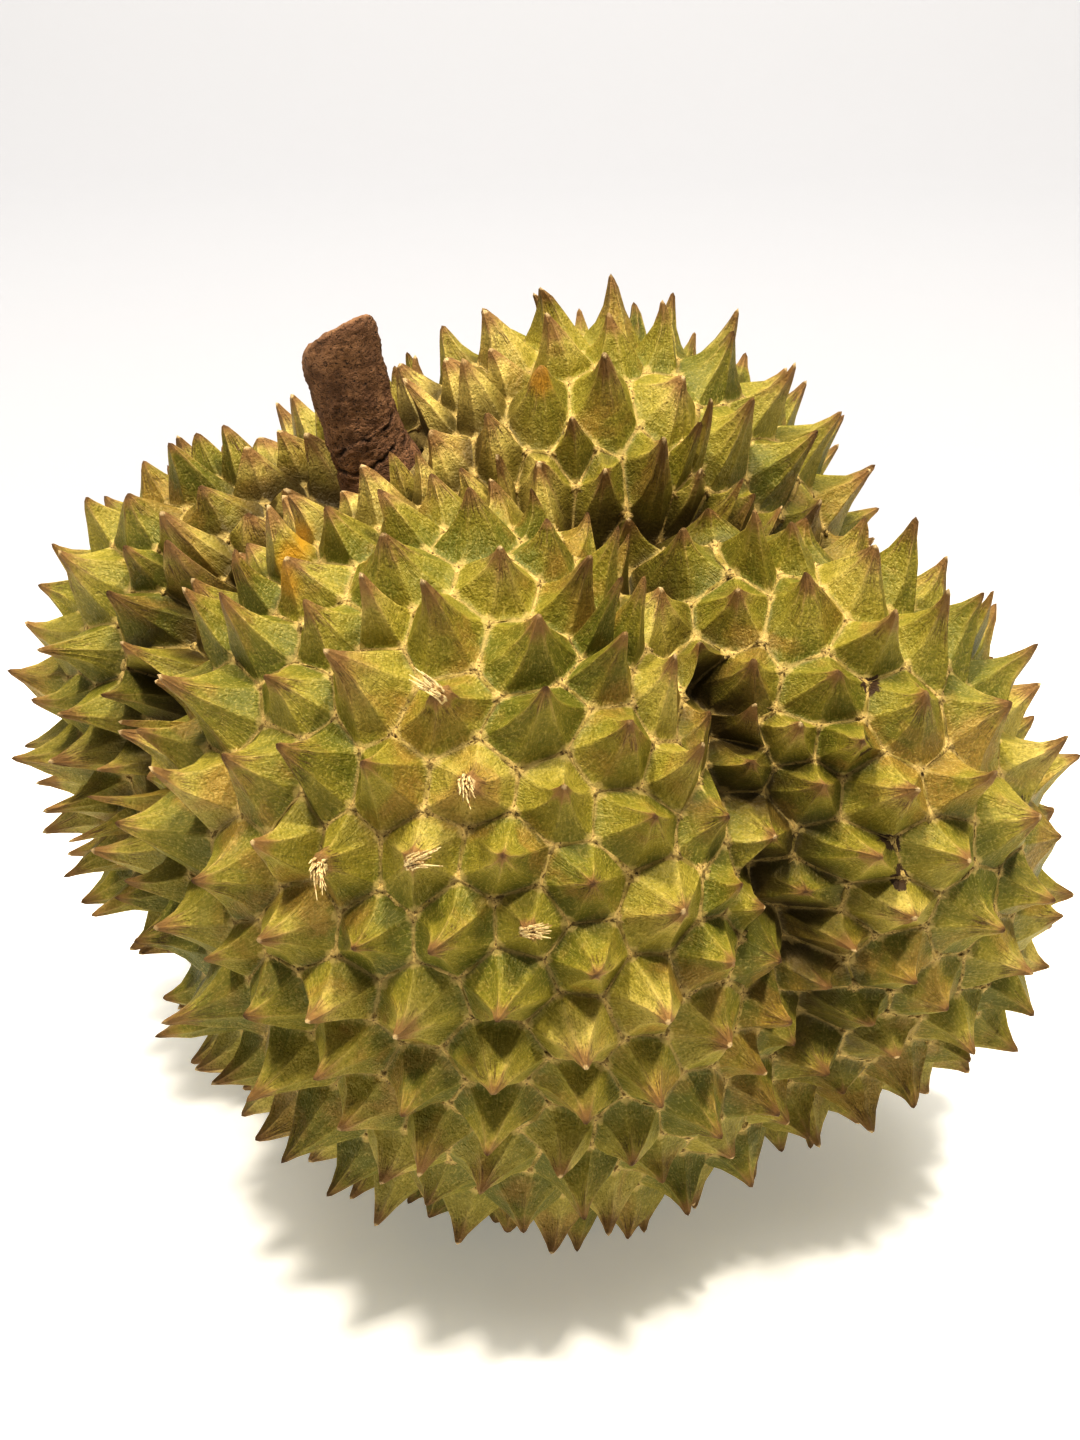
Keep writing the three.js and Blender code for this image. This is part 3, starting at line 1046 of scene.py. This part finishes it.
    def grid(self) -> Array:
        """The points of every wedge.

        Between two ridges a row is a straight line, pulled towards the centre line by hollow times
        an arch from one ridge to the other, and by nothing at the foot.

        Returns:
            An array (wedges, rows, columns, 3).
        """
        cells = self.field
        start = self.ridges()
        end = start[cells.after]
        s = np.array(self.columns)[:, None]
        chord = start[:, :, None] * (1 - s) + end[:, :, None] * s
        rows = np.array(self.rows)
        heights = np.broadcast_to(rows, (len(start), len(rows)))
        centre = self.centre_line(np.arange(len(start)), heights)
        sink = self.hollow * arch(s) * smoothstep(rows, 0, self.hollow_from)[:, None, None]
        sink = np.where(self.crushed[cells.spine][:, None, None, None], 0, sink)
        return chord + (centre[:, :, None] - chord) * sink

    def roughened(self, points: Array) -> Array:
        """Points moved a little, by nothing where the rind touches the ground.

        A broad wave for each axis bends the spines, and two finer ones lift and sink the skin.

        Args:
            points: The smooth skin's points.

        Returns:
            The moved points, none of them below the ground.
        """
        bent = np.stack([wave.at(points) for wave in self.waves], -1)
        swell = self.swell.at(points) + self.dimple_share * self.dimples.at(points)
        outward = unit(points - self.centre)
        moved = self.waviness * bent + self.unevenness * swell[:, None] * outward
        points = points + moved * smoothstep(points[:, 2], *self.ground_zone)[:, None]
        points[:, 2] = np.maximum(points[:, 2], 0)
        return points

    def numbering(self) -> tuple[Array, int]:
        """Numbers the grid's points so that neighbouring wedges and spines share theirs.

        The foot corners come first, then the points between them along each side of a foot, then
        the points inside the flanks with the ridge at their start, and the tips at the end.

        Returns:
            An array (wedges, rows, columns) of numbers, and how many there are.
        """
        cells = self.field
        wedges, rows, columns = len(cells.corner), len(self.rows), len(self.columns)
        numbers = np.zeros((wedges, rows, columns), int)
        corners, corner = np.unique(cells.corner, return_inverse=True)
        ends = np.stack([corner, corner[cells.after]], 1)
        edges, edge = np.unique(np.sort(ends, 1), axis=0, return_inverse=True)
        between = np.arange(columns - 2)
        flipped = (ends[:, 0] > ends[:, 1])[:, None]
        along = np.where(flipped, between[::-1], between)
        used = len(corners)
        numbers[:, 0, 0] = corner
        numbers[:, 0, 1:-1] = used + edge.reshape(-1, 1) * len(between) + along
        used += len(edges) * len(between)
        flank = (wedges, rows - 2, columns - 1)
        numbers[:, 1:-1, :-1] = used + np.arange(math.prod(flank)).reshape(flank)
        used += math.prod(flank)
        numbers[:, -1] = used + cells.spine[:, None]
        numbers[:, :-1, -1] = numbers[cells.after, :-1, 0]
        return numbers, used + len(cells.tip)

    def seat_faces(self, numbers: Array, used: int) -> tuple[Array, list[list[int]]]:
        """The faces round the stem, which pick up the points of the spines' feet beside them.

        Args:
            numbers: The grid's numbers.
            used: How many numbers are taken.

        Returns:
            The points that the seat adds, and its faces.
        """
        cells = self.field
        known = dict(zip(cells.corner.tolist(), numbers[:, 0, 0].tolist()))
        sides = {(row[-1], row[0]): row[::-1] for row in numbers[:, 0].tolist()}
        extra = [point for point in np.unique(cells.seat).tolist() if point not in known]
        known.update({point: used + i for i, point in enumerate(extra)})
        faces = []
        for triangle in cells.seat.tolist():
            corners = [known[point] for point in triangle]
            face = []
            for start, end in zip(corners, corners[1:] + corners[:1]):
                face += sides.get((start, end), [start, end])[:-1]
            faces.append(face)
        return cells.points[extra], faces

    def build(self) -> bpy.types.Object:
        """Makes the rind's object.

        Returns:
            The rind, with its attributes, UV map and material.
        """
        grid = self.grid()
        numbers, used = self.numbering()
        seat_points, seat = self.seat_faces(numbers, used)
        points = np.zeros((used, 3))
        points[numbers.ravel()] = grid.reshape(-1, 3)
        skin = np.concatenate([points, seat_points])
        quads, tops = face_corners(numbers)
        faces = quads.reshape(-1, 4).tolist() + tops.reshape(-1, 3).tolist() + seat
        made = new_object("rind_skin", self.roughened(skin), faces)
        self.add_flank_shares(made, numbers)
        self.add_places(made, skin)
        self.add_tints(made, len(seat))
        self.unwrap(made, grid, seat)
        made.data.materials.append(HuskFinish().material())
        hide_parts("rind")
        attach(made, "root")
        return made

    def add_flank_shares(self, made: bpy.types.Object, numbers: Array) -> None:
        """Stores how high up its spine each point is, and how near to a ridge, |2 s - 1|.

        Args:
            made: The rind's object.
            numbers: The grid's numbers.
        """
        up = np.array(self.rows)[:, None]
        across = np.abs(2 * np.array(self.columns) - 1)
        for name, share in (("height", up), ("ridge", across)):
            values = np.zeros(len(made.data.vertices))
            values[numbers.ravel()] = np.broadcast_to(share, numbers.shape).ravel()
            add_attribute(made, name, "POINT", values)

    def add_places(self, made: bpy.types.Object, skin: Array) -> None:
        """Stores what follows from where a point is: wounds, shade and crown.

        Args:
            made: The rind's object.
            skin: Its points, before they are roughened.
        """
        for wound in Wound:
            add_attribute(made, wound.value, "POINT", self.marked(skin, wound))
        add_attribute(made, "shade", "POINT", self.shade(skin))
        add_attribute(made, "crown", "POINT", self.crown(skin))

    def add_tints(self, made: bpy.types.Object, seat_count: int) -> None:
        """Stores a random tint for each spine on its faces, and 0 on the seat's.

        Args:
            made: The rind's object.
            seat_count: How many faces the seat has.
        """
        cells = self.field
        tints = np.random.default_rng(self.tint_seed).random(len(cells.tip))[cells.spine]
        rows, columns = len(self.rows) - 2, len(self.columns) - 1
        flanks = np.repeat(tints, rows * columns)
        tops = np.repeat(tints, columns)
        add_attribute(made, "tint", "FACE", np.concatenate([flanks, tops, np.zeros(seat_count)]))

    def marked(self, points: Array, wound: Wound) -> Array:
        """How strongly each point is marked: 1 in the middle of a mark, 0 past its radius.

        Args:
            points: The points.
            wound: Which marks count.

        Returns:
            One share for each point.
        """
        strength = np.zeros(len(points))
        for mark in self.marks[wound]:
            reach = 1 - smoothstep(mark.distance(points), 0, mark.radius * MM)
            strength = np.maximum(strength, np.where(points[:, 1] < 0, reach, 0))
        return strength

    def shade(self, points: Array) -> Array:
        """How deep in a crease each point lies: its distance below the lobes round it, as a share.

        The lobes' level in a direction is the distance of the farthest foot corner that lies close
        by, and a point takes the level of the direction nearest to its own.

        Args:
            points: The points.

        Returns:
            One share for each point.
        """
        middle = points.mean(0)
        offsets = points - middle
        distance = np.linalg.norm(offsets, axis=1)
        probes = sphere(self.probes)
        foot = self.field.points[np.unique(self.field.corner)] - middle
        foot_distance = np.linalg.norm(foot, axis=1)
        near = unit(foot) @ probes.T > math.cos(math.radians(self.probe_angle))
        lobe_level = np.where(near, foot_distance[:, None], 0).max(0)
        level = np.empty(len(points))
        for part in np.array_split(np.arange(len(points)), 40):  # which keeps the memory small
            level[part] = lobe_level[np.argmax(unit(offsets[part]) @ probes.T, axis=1)]
        return np.clip((level - distance) / self.crease_depth, 0, 1)

    def crown(self, points: Array) -> Array:
        """How near to the stem each point lies: 1 beside it, 0 at twice the crown's radius.

        Args:
            points: The points.

        Returns:
            One share for each point.
        """
        foot = self.field.points[np.unique(self.field.seat)].mean(0)
        distance = np.linalg.norm(points - foot, axis=1)
        return 1 - smoothstep(distance, self.crown_radius, 2 * self.crown_radius)

    def flat_uv(self, grid: Array) -> Array:
        """Each grid point's place on its unrolled flank: across at the foot's width, and up.

        Args:
            grid: The points of every wedge.

        Returns:
            An array (wedges, rows, columns, 2) in metres, each flank 50 mm beside the last.
        """
        width = np.linalg.norm(grid[:, 0, -1] - grid[:, 0, 0], axis=1)[:, None, None]
        beside = 50 * MM * np.arange(len(grid))[:, None, None]
        across = width * np.array(self.columns) + beside
        steps = np.linalg.norm(np.diff(grid[:, :, 2], axis=1), axis=2)
        up = np.concatenate([np.zeros((len(grid), 1)), np.cumsum(steps, axis=1)], 1)[:, :, None]
        return np.stack(np.broadcast_arrays(across, up), -1)

    def unwrap(self, made: bpy.types.Object, grid: Array, seat: list[list[int]]) -> None:
        """Gives the rind its UV map, on which every flank has its own place.

        Args:
            made: The rind's object.
            grid: The points of every wedge.
            seat: The faces round the stem, which all go to the map's origin.
        """
        quads, tops = face_corners(self.flat_uv(grid))
        rest = np.zeros((sum(len(face) for face in seat), 2))
        together = np.concatenate([quads.reshape(-1, 2), tops.reshape(-1, 2), rest])
        layer = made.data.uv_layers.new(name="flank")
        layer.data.foreach_set("uv", together.ravel().astype(np.float32))


@dataclass
class SeamNet:
    """The raised corky seams between the spines, one low cord along each side of a foot.

    Attributes:
        half_width: Half the width of a seam.
        height: How far it stands above the valley.
        stations: Where its rings lie along it.
        around: How many points a ring has.
        waver: How far it wanders sideways.
        bends: The waves that it wanders by.
        plain: Its thickness in the middle, as a share of half_width and height.
        knot: How much is added at its ends, where three seams meet.
        lumps: The short waves of its thickness, and lump_share how strong they are.
        stretches: The long waves of its thickness, and stretch_share how strong they are.
        thinnest: The least thickness.
    """

    half_width: float = 0.8 * MM
    height: float = 0.3 * MM
    stations: tuple[float, ...] = (-0.03, 0.1, 0.3, 0.5, 0.7, 0.9, 1.03)
    around: int = 5
    waver: float = 0.6 * MM
    bends: Ripple = Ripple(7 * MM, 5, 11)
    plain: float = 0.85
    knot: float = 1.2
    lumps: Ripple = Ripple(3 * MM, 5, 12)
    lump_share: float = 0.35
    stretches: Ripple = Ripple(20 * MM, 7, 13)
    stretch_share: float = 0.5
    thinnest: float = 0.3

    def build(self, rind: Rind) -> bpy.types.Object:
        """Makes the seams' object.

        Args:
            rind: The rind that it lies on.

        Returns:
            The seams.
        """
        rings = self.rings(rind)
        points, faces = closed_tubes(rings)
        made = new_object("rind_seams", points, faces)
        nearness = np.abs(2 * np.array(self.stations) - 1) ** 2
        ends = np.broadcast_to(nearness[None, :, None], rings.shape[:3])
        add_attribute(made, "end", "POINT", ends.ravel())
        made.data.materials.append(SeamFinish().material())
        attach(made, "root")
        return made

    def rings(self, rind: Rind) -> Array:
        """The rings of every seam.

        A ring is an ellipse across the line between two corners. The line lies on the roughened
        skin and wanders sideways by a sum of waves times an arch, so by nothing at its ends.

        Args:
            rind: The rind that the seams lie on.

        Returns:
            An array (seams, stations, around, 3).
        """
        cells = rind.field
        ends = np.stack([cells.corner, cells.corner[cells.after]], 1)
        outward = np.zeros((len(cells.points), 3))
        np.add.at(outward, cells.corner, rind.outward[cells.spine])
        outward = unit(outward)
        first, second = ends[ends[:, 0] < ends[:, 1]].T
        start, end = cells.points[first], cells.points[second]
        u = np.array(self.stations)[None, :, None]
        line = start[:, None] * (1 - u) + end[:, None] * u
        up = unit(outward[first][:, None] * (1 - u) + outward[second][:, None] * u)
        across = unit(np.cross(up, (end - start)[:, None]))
        line = rind.roughened(line.reshape(-1, 3)).reshape(line.shape)
        line = line + across * self.waver * self.bends.at(line)[..., None] * arch(u)
        thickness = self.thickness(line, u)[:, :, None]
        round_about = circle(self.around)
        wide = (round_about[:, 0] * self.half_width)[:, None] * across[:, :, None] * thickness
        high = (round_about[:, 1] * self.height)[:, None] * up[:, :, None] * thickness
        rings = line[:, :, None] + wide + high
        rings[..., 2] = np.maximum(rings[..., 2], 0)
        return rings

    def thickness(self, line: Array, u: Array) -> Array:
        """How thick the seams are: plain, plus knot times |2 u - 1|^5, plus two sets of waves.

        Args:
            line: The middle lines of the seams.
            u: The stations along them.

        Returns:
            A share for each point of the lines.
        """
        swell = self.plain + self.knot * np.abs(2 * u - 1) ** 5
        swell = swell + self.lump_share * self.lumps.at(line)[..., None]
        swell = swell + self.stretch_share * self.stretches.at(line)[..., None]
        return np.maximum(swell, self.thinnest)


@dataclass
class FrayedTips:
    """The dry fibres that stick out of the broken tips.

    Attributes:
        fibres: How many a tip has.
        length: How long the longest is.
        shortest: How long the shortest is, as a share of that.
        thickness: Half a fibre's width at its root.
        thinning: How much of that it has lost at its end, as a share.
        spread: How far it curls aside, as a share of its length.
        droop: How far all the fibres of a tip lean the same way, as such a share.
        least_lean: The least of both that a fibre has, as a share.
        root_spread: How far from the middle of the broken end it starts.
        root_depth: How deep in the broken end it starts.
        stations: Where its rings lie along it.
        around: How many points a ring has.
        seed: Picks the fibres' places, lengths and curls.
    """

    fibres: int = 34
    length: float = 6.5 * MM
    shortest: float = 0.35
    thickness: float = 0.6 * MM
    thinning: float = 0.8
    spread: float = 0.3
    droop: float = 1.1
    least_lean: float = 0.2
    root_spread: float = 1.5 * MM
    root_depth: float = 1.6 * MM
    stations: tuple[float, ...] = (0, 0.35, 0.7, 1)
    around: int = 4
    seed: int = 5

    def build(self, rind: Rind) -> bpy.types.Object:
        """Makes the fibres' object.

        A fibre is a tapering tube. It starts in the broken end, and its middle line is
        root + length * (s * ahead + s * s * lean * curl), where s is the share of the way along it.

        Args:
            rind: The rind that carries them.

        Returns:
            The fibres.
        """
        rng = np.random.default_rng(self.seed)
        spines = np.flatnonzero(rind.is_broken)
        h = rind.broken_height
        root = rind.middle[spines] + h * rind.rise[spines] + h * h * rind.bend[spines]
        ahead = unit(rind.rise[spines] + 2 * h * rind.bend[spines])
        count = len(spines) * self.fibres
        root = np.repeat(root, self.fibres, axis=0)
        ahead = np.repeat(ahead, self.fibres, axis=0)
        aside = unit(np.cross(ahead, rng.normal(size=(count, 3))))
        other = np.cross(ahead, aside)
        curl = unit(other * rng.normal(size=(count, 1)) + aside)
        common = np.repeat(rng.normal(size=(len(spines), 3)), self.fibres, axis=0)
        curl = self.spread * curl + self.droop * unit(np.cross(ahead, common))
        length = self.length * rng.uniform(self.shortest, 1, (count, 1))
        root = root + aside * rng.uniform(0, self.root_spread, (count, 1)) - ahead * self.root_depth
        lean = rng.uniform(self.least_lean, 1, (count, 1))
        s = np.array(self.stations)[None, :, None]
        straight = (ahead * length)[:, None] * s
        line = root[:, None] + straight + (curl * length * lean)[:, None] * s**2
        radius = self.thickness * (1 - self.thinning * s)
        round_about = circle(self.around)
        ring = round_about[:, :1] * aside[:, None] + round_about[:, 1:] * other[:, None]
        points, faces = closed_tubes(line[:, :, None] + radius[..., None] * ring[:, None])
        made = new_object("frayed_tips", points, faces)
        made.data.materials.append(FibreFinish().material())
        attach(made, "root")
        return made


@dataclass
class Stem:
    """The corky stem: rings up a bent line, cracked round near the foot and cut off slanting.

    Attributes:
        lean_left: The turn of the fruit's axis to the left, in degrees.
        lean_forward: Its turn to the front, in degrees.
        settled_back: Its turn back, in degrees.
        seat: How deep the stem goes below its seat.
        length: How far it stands above it.
        bend: How far it bends back upright.
        bend_curve: The power of the height that it bends by.
        profile: Height above the seat and radius, from the bottom up, in millimetres.
        flattening: Its depth as a share of its width.
        plain_foot: The height up to which it is neither flattened nor slanted.
        slant: The rise of the cut to the right, as a share of the way there.
        front_rise: Its rise from the back to the front, as such a share.
        drop: How much lower the cut's middle is than the stem's full length.
        dome: How far the cut end bulges.
        cap_radii: The rings of the cut end, as shares of its radius.
        bark_zone: The heights from which the bark starts and is full.
        ridges: The waves of the bark's upright ridges, and ridge_height how high they are.
        ridge_stretch: Below 1, the ridges are longer up the stem than they are wide.
        lumps: The waves of its lumps, and lump_height how high they are.
        grain: Its finest waves, and grain_height how high they are.
        cracks: The heights of the cracks round the foot.
        crack_width: How wide a crack is.
        crack_depth: How deep it is.
        wander: The long waves that a crack goes up and down by, and wander_reach how far.
        tear: The short ones, and tear_reach how far.
        crack_strength: The waves that make a crack deeper and shallower along it.
        saw_marks: The waves of the cut end, and saw_depth how high they are.
        around: How many points a ring has.
        rings: How many rings there are up the side.
    """

    lean_left: float = 28.8
    lean_forward: float = 4.7
    settled_back: float = 1.5
    seat: float = 4.7 * MM
    length: float = 38 * MM
    bend: float = 10.5 * MM
    bend_curve: float = 1.3
    profile: tuple[tuple[float, float], ...] = (
        (-4.7, 11.2),
        (0.3, 11.2),
        (3, 10.4),
        (9, 9.9),
        (17, 9.9),
        (25, 10.1),
        (33, 10.5),
        (35.5, 10.5),
        (37.2, 9.9),
        (38, 8.8),
    )
    flattening: float = 0.9
    plain_foot: float = 12 * MM
    slant: float = 0.03
    front_rise: float = 0.42
    drop: float = 2 * MM
    dome: float = 0.3 * MM
    cap_radii: tuple[float, ...] = (0.86, 0.66, 0.42, 0.18)
    bark_zone: tuple[float, float] = (0.6 * MM, 4 * MM)
    ridges: Ripple = Ripple(3.4 * MM, 12, 21)
    ridge_height: float = 0.18 * MM
    ridge_stretch: float = 0.35
    lumps: Ripple = Ripple(7 * MM, 9, 22)
    lump_height: float = 0.198 * MM
    grain: Ripple = Ripple(1.7 * MM, 14, 25)
    grain_height: float = 0.126 * MM
    cracks: tuple[float, float] = (5.1 * MM, 11.1 * MM)
    crack_width: float = 0.42 * MM
    crack_depth: float = 1.3 * MM
    wander: Ripple = Ripple(9 * MM, 6, 23)
    wander_reach: float = 0.8 * MM
    tear: Ripple = Ripple(2.2 * MM, 9, 26)
    tear_reach: float = 0.35 * MM
    crack_strength: Ripple = Ripple(5 * MM, 7, 27)
    saw_marks: Ripple = Ripple(3 * MM, 8, 24)
    saw_depth: float = 0.35 * MM
    around: int = 128
    rings: int = 110

    def __post_init__(self) -> None:
        """Works out the heights of the side's rings and the way out of each of their points."""
        self.heights = np.linspace(-self.seat, self.length, self.rings)
        self.out = np.column_stack([circle(self.around), np.zeros(self.around)])

    def turn(self) -> Matrix:
        """The fruit's own frame turned to how it stands.

        Returns:
            The turn to the front, then the one to the left, then the one back.
        """
        back = Matrix.Rotation(math.radians(-self.settled_back), 3, "X")
        left = Matrix.Rotation(math.radians(-self.lean_left), 3, "Y")
        forward = Matrix.Rotation(math.radians(self.lean_forward), 3, "X")
        return back @ left @ forward

    def tower(self) -> Array:
        """The smooth straight side: the profile's radius round each height, flattened above.

        Returns:
            An array (rings, around, 3).
        """
        table = np.array(self.profile) * MM
        radii = np.interp(self.heights, table[:, 0], table[:, 1])[:, None]
        flat = np.where(self.heights > self.plain_foot, self.flattening, 1)[:, None]
        x = radii * self.out[:, 0]
        y = radii * flat * self.out[:, 1]
        return np.stack([x, y, np.broadcast_to(self.heights[:, None], x.shape)], -1)

    def bark(self, tower: Array) -> Array:
        """How far the bark stands out: upright ridges, lumps and grain, each a sum of waves.

        Args:
            tower: The smooth side.

        Returns:
            A length for each of its points.
        """
        upright = tower * np.array([1, 1, self.ridge_stretch])
        relief = self.ridge_height * self.ridges.at(upright)
        relief = relief + self.lump_height * self.lumps.at(tower)
        return relief + self.grain_height * self.grain.at(tower)

    def groove(self, tower: Array) -> Array:
        """How deep in a crack round the foot each point lies.

        A crack is exp(-(d / crack_width)^2), where d is the distance up or down to a line round the
        stem that wanders by two sets of waves, upwards for one crack and downwards for the other.

        Args:
            tower: The smooth side.

        Returns:
            A share for each of its points, which waves make uneven along the crack.
        """
        level = tower * np.array([1, 1, 0])
        wander = self.wander_reach * self.wander.at(level)
        wander += self.tear_reach * self.tear.at(level)
        lower, upper = self.cracks
        away = np.stack([tower[..., 2] - wander - lower, tower[..., 2] + wander - upper])
        depth = np.exp(-((away / self.crack_width) ** 2)).sum(0)
        return depth * np.clip(0.75 + 0.6 * self.crack_strength.at(tower), 0.1, 1)

    def cut_end(self, rim: Array) -> Array:
        """The rings of the cut end, which shrink from the rim to its middle.

        Args:
            rim: The side's last ring.

        Returns:
            An array (cap rings, around, 3), slightly domed and uneven.
        """
        middle = np.array([0, 0, self.length])
        caps = middle + (rim - middle) * np.array(self.cap_radii)[:, None, None]
        caps[..., 2] += self.saw_depth * self.saw_marks.at(caps) + self.dome
        return caps

    def with_caps(self, side: Array, cap: float) -> Array:
        """One number for each ring of the side, and then one for each ring of the cut end."""
        return np.concatenate([side, np.full(len(self.cap_radii), cap)])[:, None]

    def bent(self, rows: Array) -> Array:
        """The rings slanted at the cut and bent along the stem.

        The slant lifts a point by slant * x - front_rise * y - drop, more and more up the stem, and
        the bend moves it along x by bend times its share of the height to the power bend_curve.

        Args:
            rows: The straight rings.

        Returns:
            The rings, as they stand in the fruit's own frame.
        """
        full_slant = self.length - 3 * MM
        cut = self.with_caps(smoothstep(self.heights, self.plain_foot, full_slant), 1)
        x, y, z = np.moveaxis(rows, -1, 0)
        z = z + cut * (self.slant * x - self.front_rise * y - self.drop)
        x = x + self.bend * (np.maximum(z, 0) / self.length) ** self.bend_curve
        return np.stack([x, y, z], -1)

    def build(self) -> bpy.types.Object:
        """Makes the stem's object.

        Returns:
            The stem, with the attributes cut, 1 on its cut end, and groove, 1 in a crack.
        """
        turn = np.array(self.turn())
        packed, _ = SpineField.welded(bpy.data.objects["stem"])
        along = packed @ turn[:, 2]
        foot = packed[along < along.min() + 0.05 * MM].mean(0)
        tower = self.tower()
        rough = smoothstep(self.heights, *self.bark_zone)[:, None]
        groove = self.groove(tower)
        relief = rough * (self.bark(tower) - self.crack_depth * groove)
        side = tower + relief[..., None] * self.out
        rows = self.bent(np.concatenate([side, self.cut_end(side[-1])]))
        placed = (rows + np.array([0, 0, self.seat])) @ turn.T + foot
        points, faces = closed_tubes(placed[None])
        made = new_object("stem_bark", points, faces)
        rim = self.length - 1.2 * MM
        cut = self.with_caps(smoothstep(self.heights, rim, self.length), 1)
        add_attribute(made, "cut", "POINT", np.broadcast_to(cut, rows.shape[:2]).ravel())
        on_caps = np.zeros((len(self.cap_radii), self.around))
        grooves = np.concatenate([rough * np.clip(groove, 0, 1), on_caps])
        add_attribute(made, "groove", "POINT", grooves.ravel())
        made.data.materials.append(BarkFinish().material())
        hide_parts("stem")
        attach(made, "root")
        return made


@dataclass(frozen=True)
class Lamp:
    """A square light that faces the fruit.

    Attributes:
        name: Its name.
        place: Where it hangs.
        size: The length of its sides.
        power: Its strength in watts.
        colour: Its linear colour.
    """

    name: str
    place: Triple
    size: float
    power: float
    colour: Colour


@dataclass
class Studio:
    """The white table that sweeps up into a wall, the soft lights and the camera.

    Attributes:
        target: The point that the camera looks at.
        distance: From there to the camera.
        elevation: How far the camera looks down, in degrees.
        lens: Its focal length on a frame 36 mm high.
        shift: How far its frame is moved, as shares of that height.
        exposure: How much the picture is brightened, in stops.
        gamma: Below 1, the picture has more contrast.
        lamps: The lights.
        room_light: How strong the light is that comes from all round.
        room_colour: Its linear colour.
        table_front: How far the table reaches to the front.
        table_half_width: How far it reaches to each side.
        sweep_start: How far back it starts to sweep up.
        sweep_radius: The radius of the sweep.
        sweep_stations: How many points the sweep has.
        wall_top: The height of the wall.
    """

    target: Triple = (0.0068, -0.0151, 0.1200)
    distance: float = 0.570
    elevation: float = 29.6
    lens: float = 54.4
    shift: tuple[float, float] = (-0.0106, 0.0231)
    exposure: float = 0.40
    gamma: float = 0.72
    lamps: tuple[Lamp, ...] = (
        Lamp("right_lamp", (0.62, -0.40, 2.3), 0.2, 29, (1.0, 0.94, 0.85)),
        Lamp("left_lamp", (-0.50, -0.40, 2.3), 0.2, 29, (1.0, 0.94, 0.85)),
        Lamp("ceiling_panel", (0.0, 0.2, 2.4), 2.6, 48, (1.0, 0.97, 0.93)),
    )
    room_light: float = 0.17
    room_colour: Colour = (1, 0.97, 0.93)
    table_front: float = 3
    table_half_width: float = 3
    sweep_start: float = 1
    sweep_radius: float = 0.5
    sweep_stations: int = 24
    wall_top: float = 3

    def build(self) -> None:
        """Makes the camera, the table and the lights, and sets how the picture is developed."""
        self.add_camera()
        self.add_table()
        for lamp in self.lamps:
            self.add_light(lamp)
        world = bpy.data.worlds.new("room")
        world.use_nodes = True
        background = world.node_tree.nodes["Background"]
        background.inputs["Color"].default_value = (*self.room_colour, 1)
        background.inputs["Strength"].default_value = self.room_light
        bpy.context.scene.world = world
        view = bpy.context.scene.view_settings
        view.view_transform = "Standard"
        view.exposure = self.exposure
        view.gamma = self.gamma

    def add_camera(self) -> None:
        """Makes the scene's camera."""
        camera = bpy.data.objects.new("camera", bpy.data.cameras.new("camera"))
        angle = math.radians(self.elevation)
        back = Vector((0, -math.cos(angle), math.sin(angle)))
        camera.location = Vector(self.target) + back * self.distance
        camera.rotation_euler = (math.pi / 2 - angle, 0, 0)
        camera.data.sensor_fit = "VERTICAL"
        camera.data.sensor_height = 36
        camera.data.lens = self.lens
        camera.data.shift_x, camera.data.shift_y = self.shift
        bpy.context.scene.collection.objects.link(camera)
        bpy.context.scene.camera = camera

    def add_table(self) -> None:
        """Makes the table: flat, then a quarter circle, then upright."""
        turn = np.radians(np.linspace(0, 90, self.sweep_stations))
        radius = self.sweep_radius
        sweep = self.sweep_start + radius * np.sin(turn)
        depth = np.concatenate([[-self.table_front], sweep, [self.sweep_start + radius]])
        height = np.concatenate([[0], radius - radius * np.cos(turn), [self.wall_top]])
        width = np.array([-self.table_half_width, self.table_half_width])[:, None]
        rows = np.stack(np.broadcast_arrays(width, depth, height), -1)
        numbers = np.arange(2 * len(depth)).reshape(2, -1)
        faces = np.stack([numbers[0, :-1], numbers[1, :-1], numbers[1, 1:], numbers[0, 1:]], -1)
        table = new_object("table", rows.reshape(-1, 3), faces.tolist())
        table.data.materials.append(TableFinish().material())

    def add_light(self, lamp: Lamp) -> None:
        """Makes one of the lights.

        Args:
            lamp: What it is like.
        """
        light = bpy.data.lights.new(lamp.name, "AREA")
        light.size = lamp.size
        light.energy = lamp.power
        light.color = lamp.colour
        made = bpy.data.objects.new(lamp.name, light)
        made.location = Vector(lamp.place)
        ahead = Vector(self.target) - made.location
        made.rotation_euler = ahead.to_track_quat("-Z", "Y").to_euler()
        bpy.context.scene.collection.objects.link(made)


def main() -> None:
    """Builds the durian's pieces in order and logs how many triangles each has."""
    logging.basicConfig(level=logging.INFO, format="%(name)s: %(message)s")
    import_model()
    Studio().build()
    rind = Rind()
    LOG.info("%d spines, %d of them crushed", len(rind.tip), int(rind.crushed.sum()))
    pieces = [rind.build(), SeamNet().build(rind), FrayedTips().build(rind), Stem().build()]
    for piece in pieces:
        piece.data.calc_loop_triangles()
        LOG.info("%s has %d triangles", piece.name, len(piece.data.loop_triangles))
    bpy.context.view_layer.update()


if __name__ == "__main__":
    main()
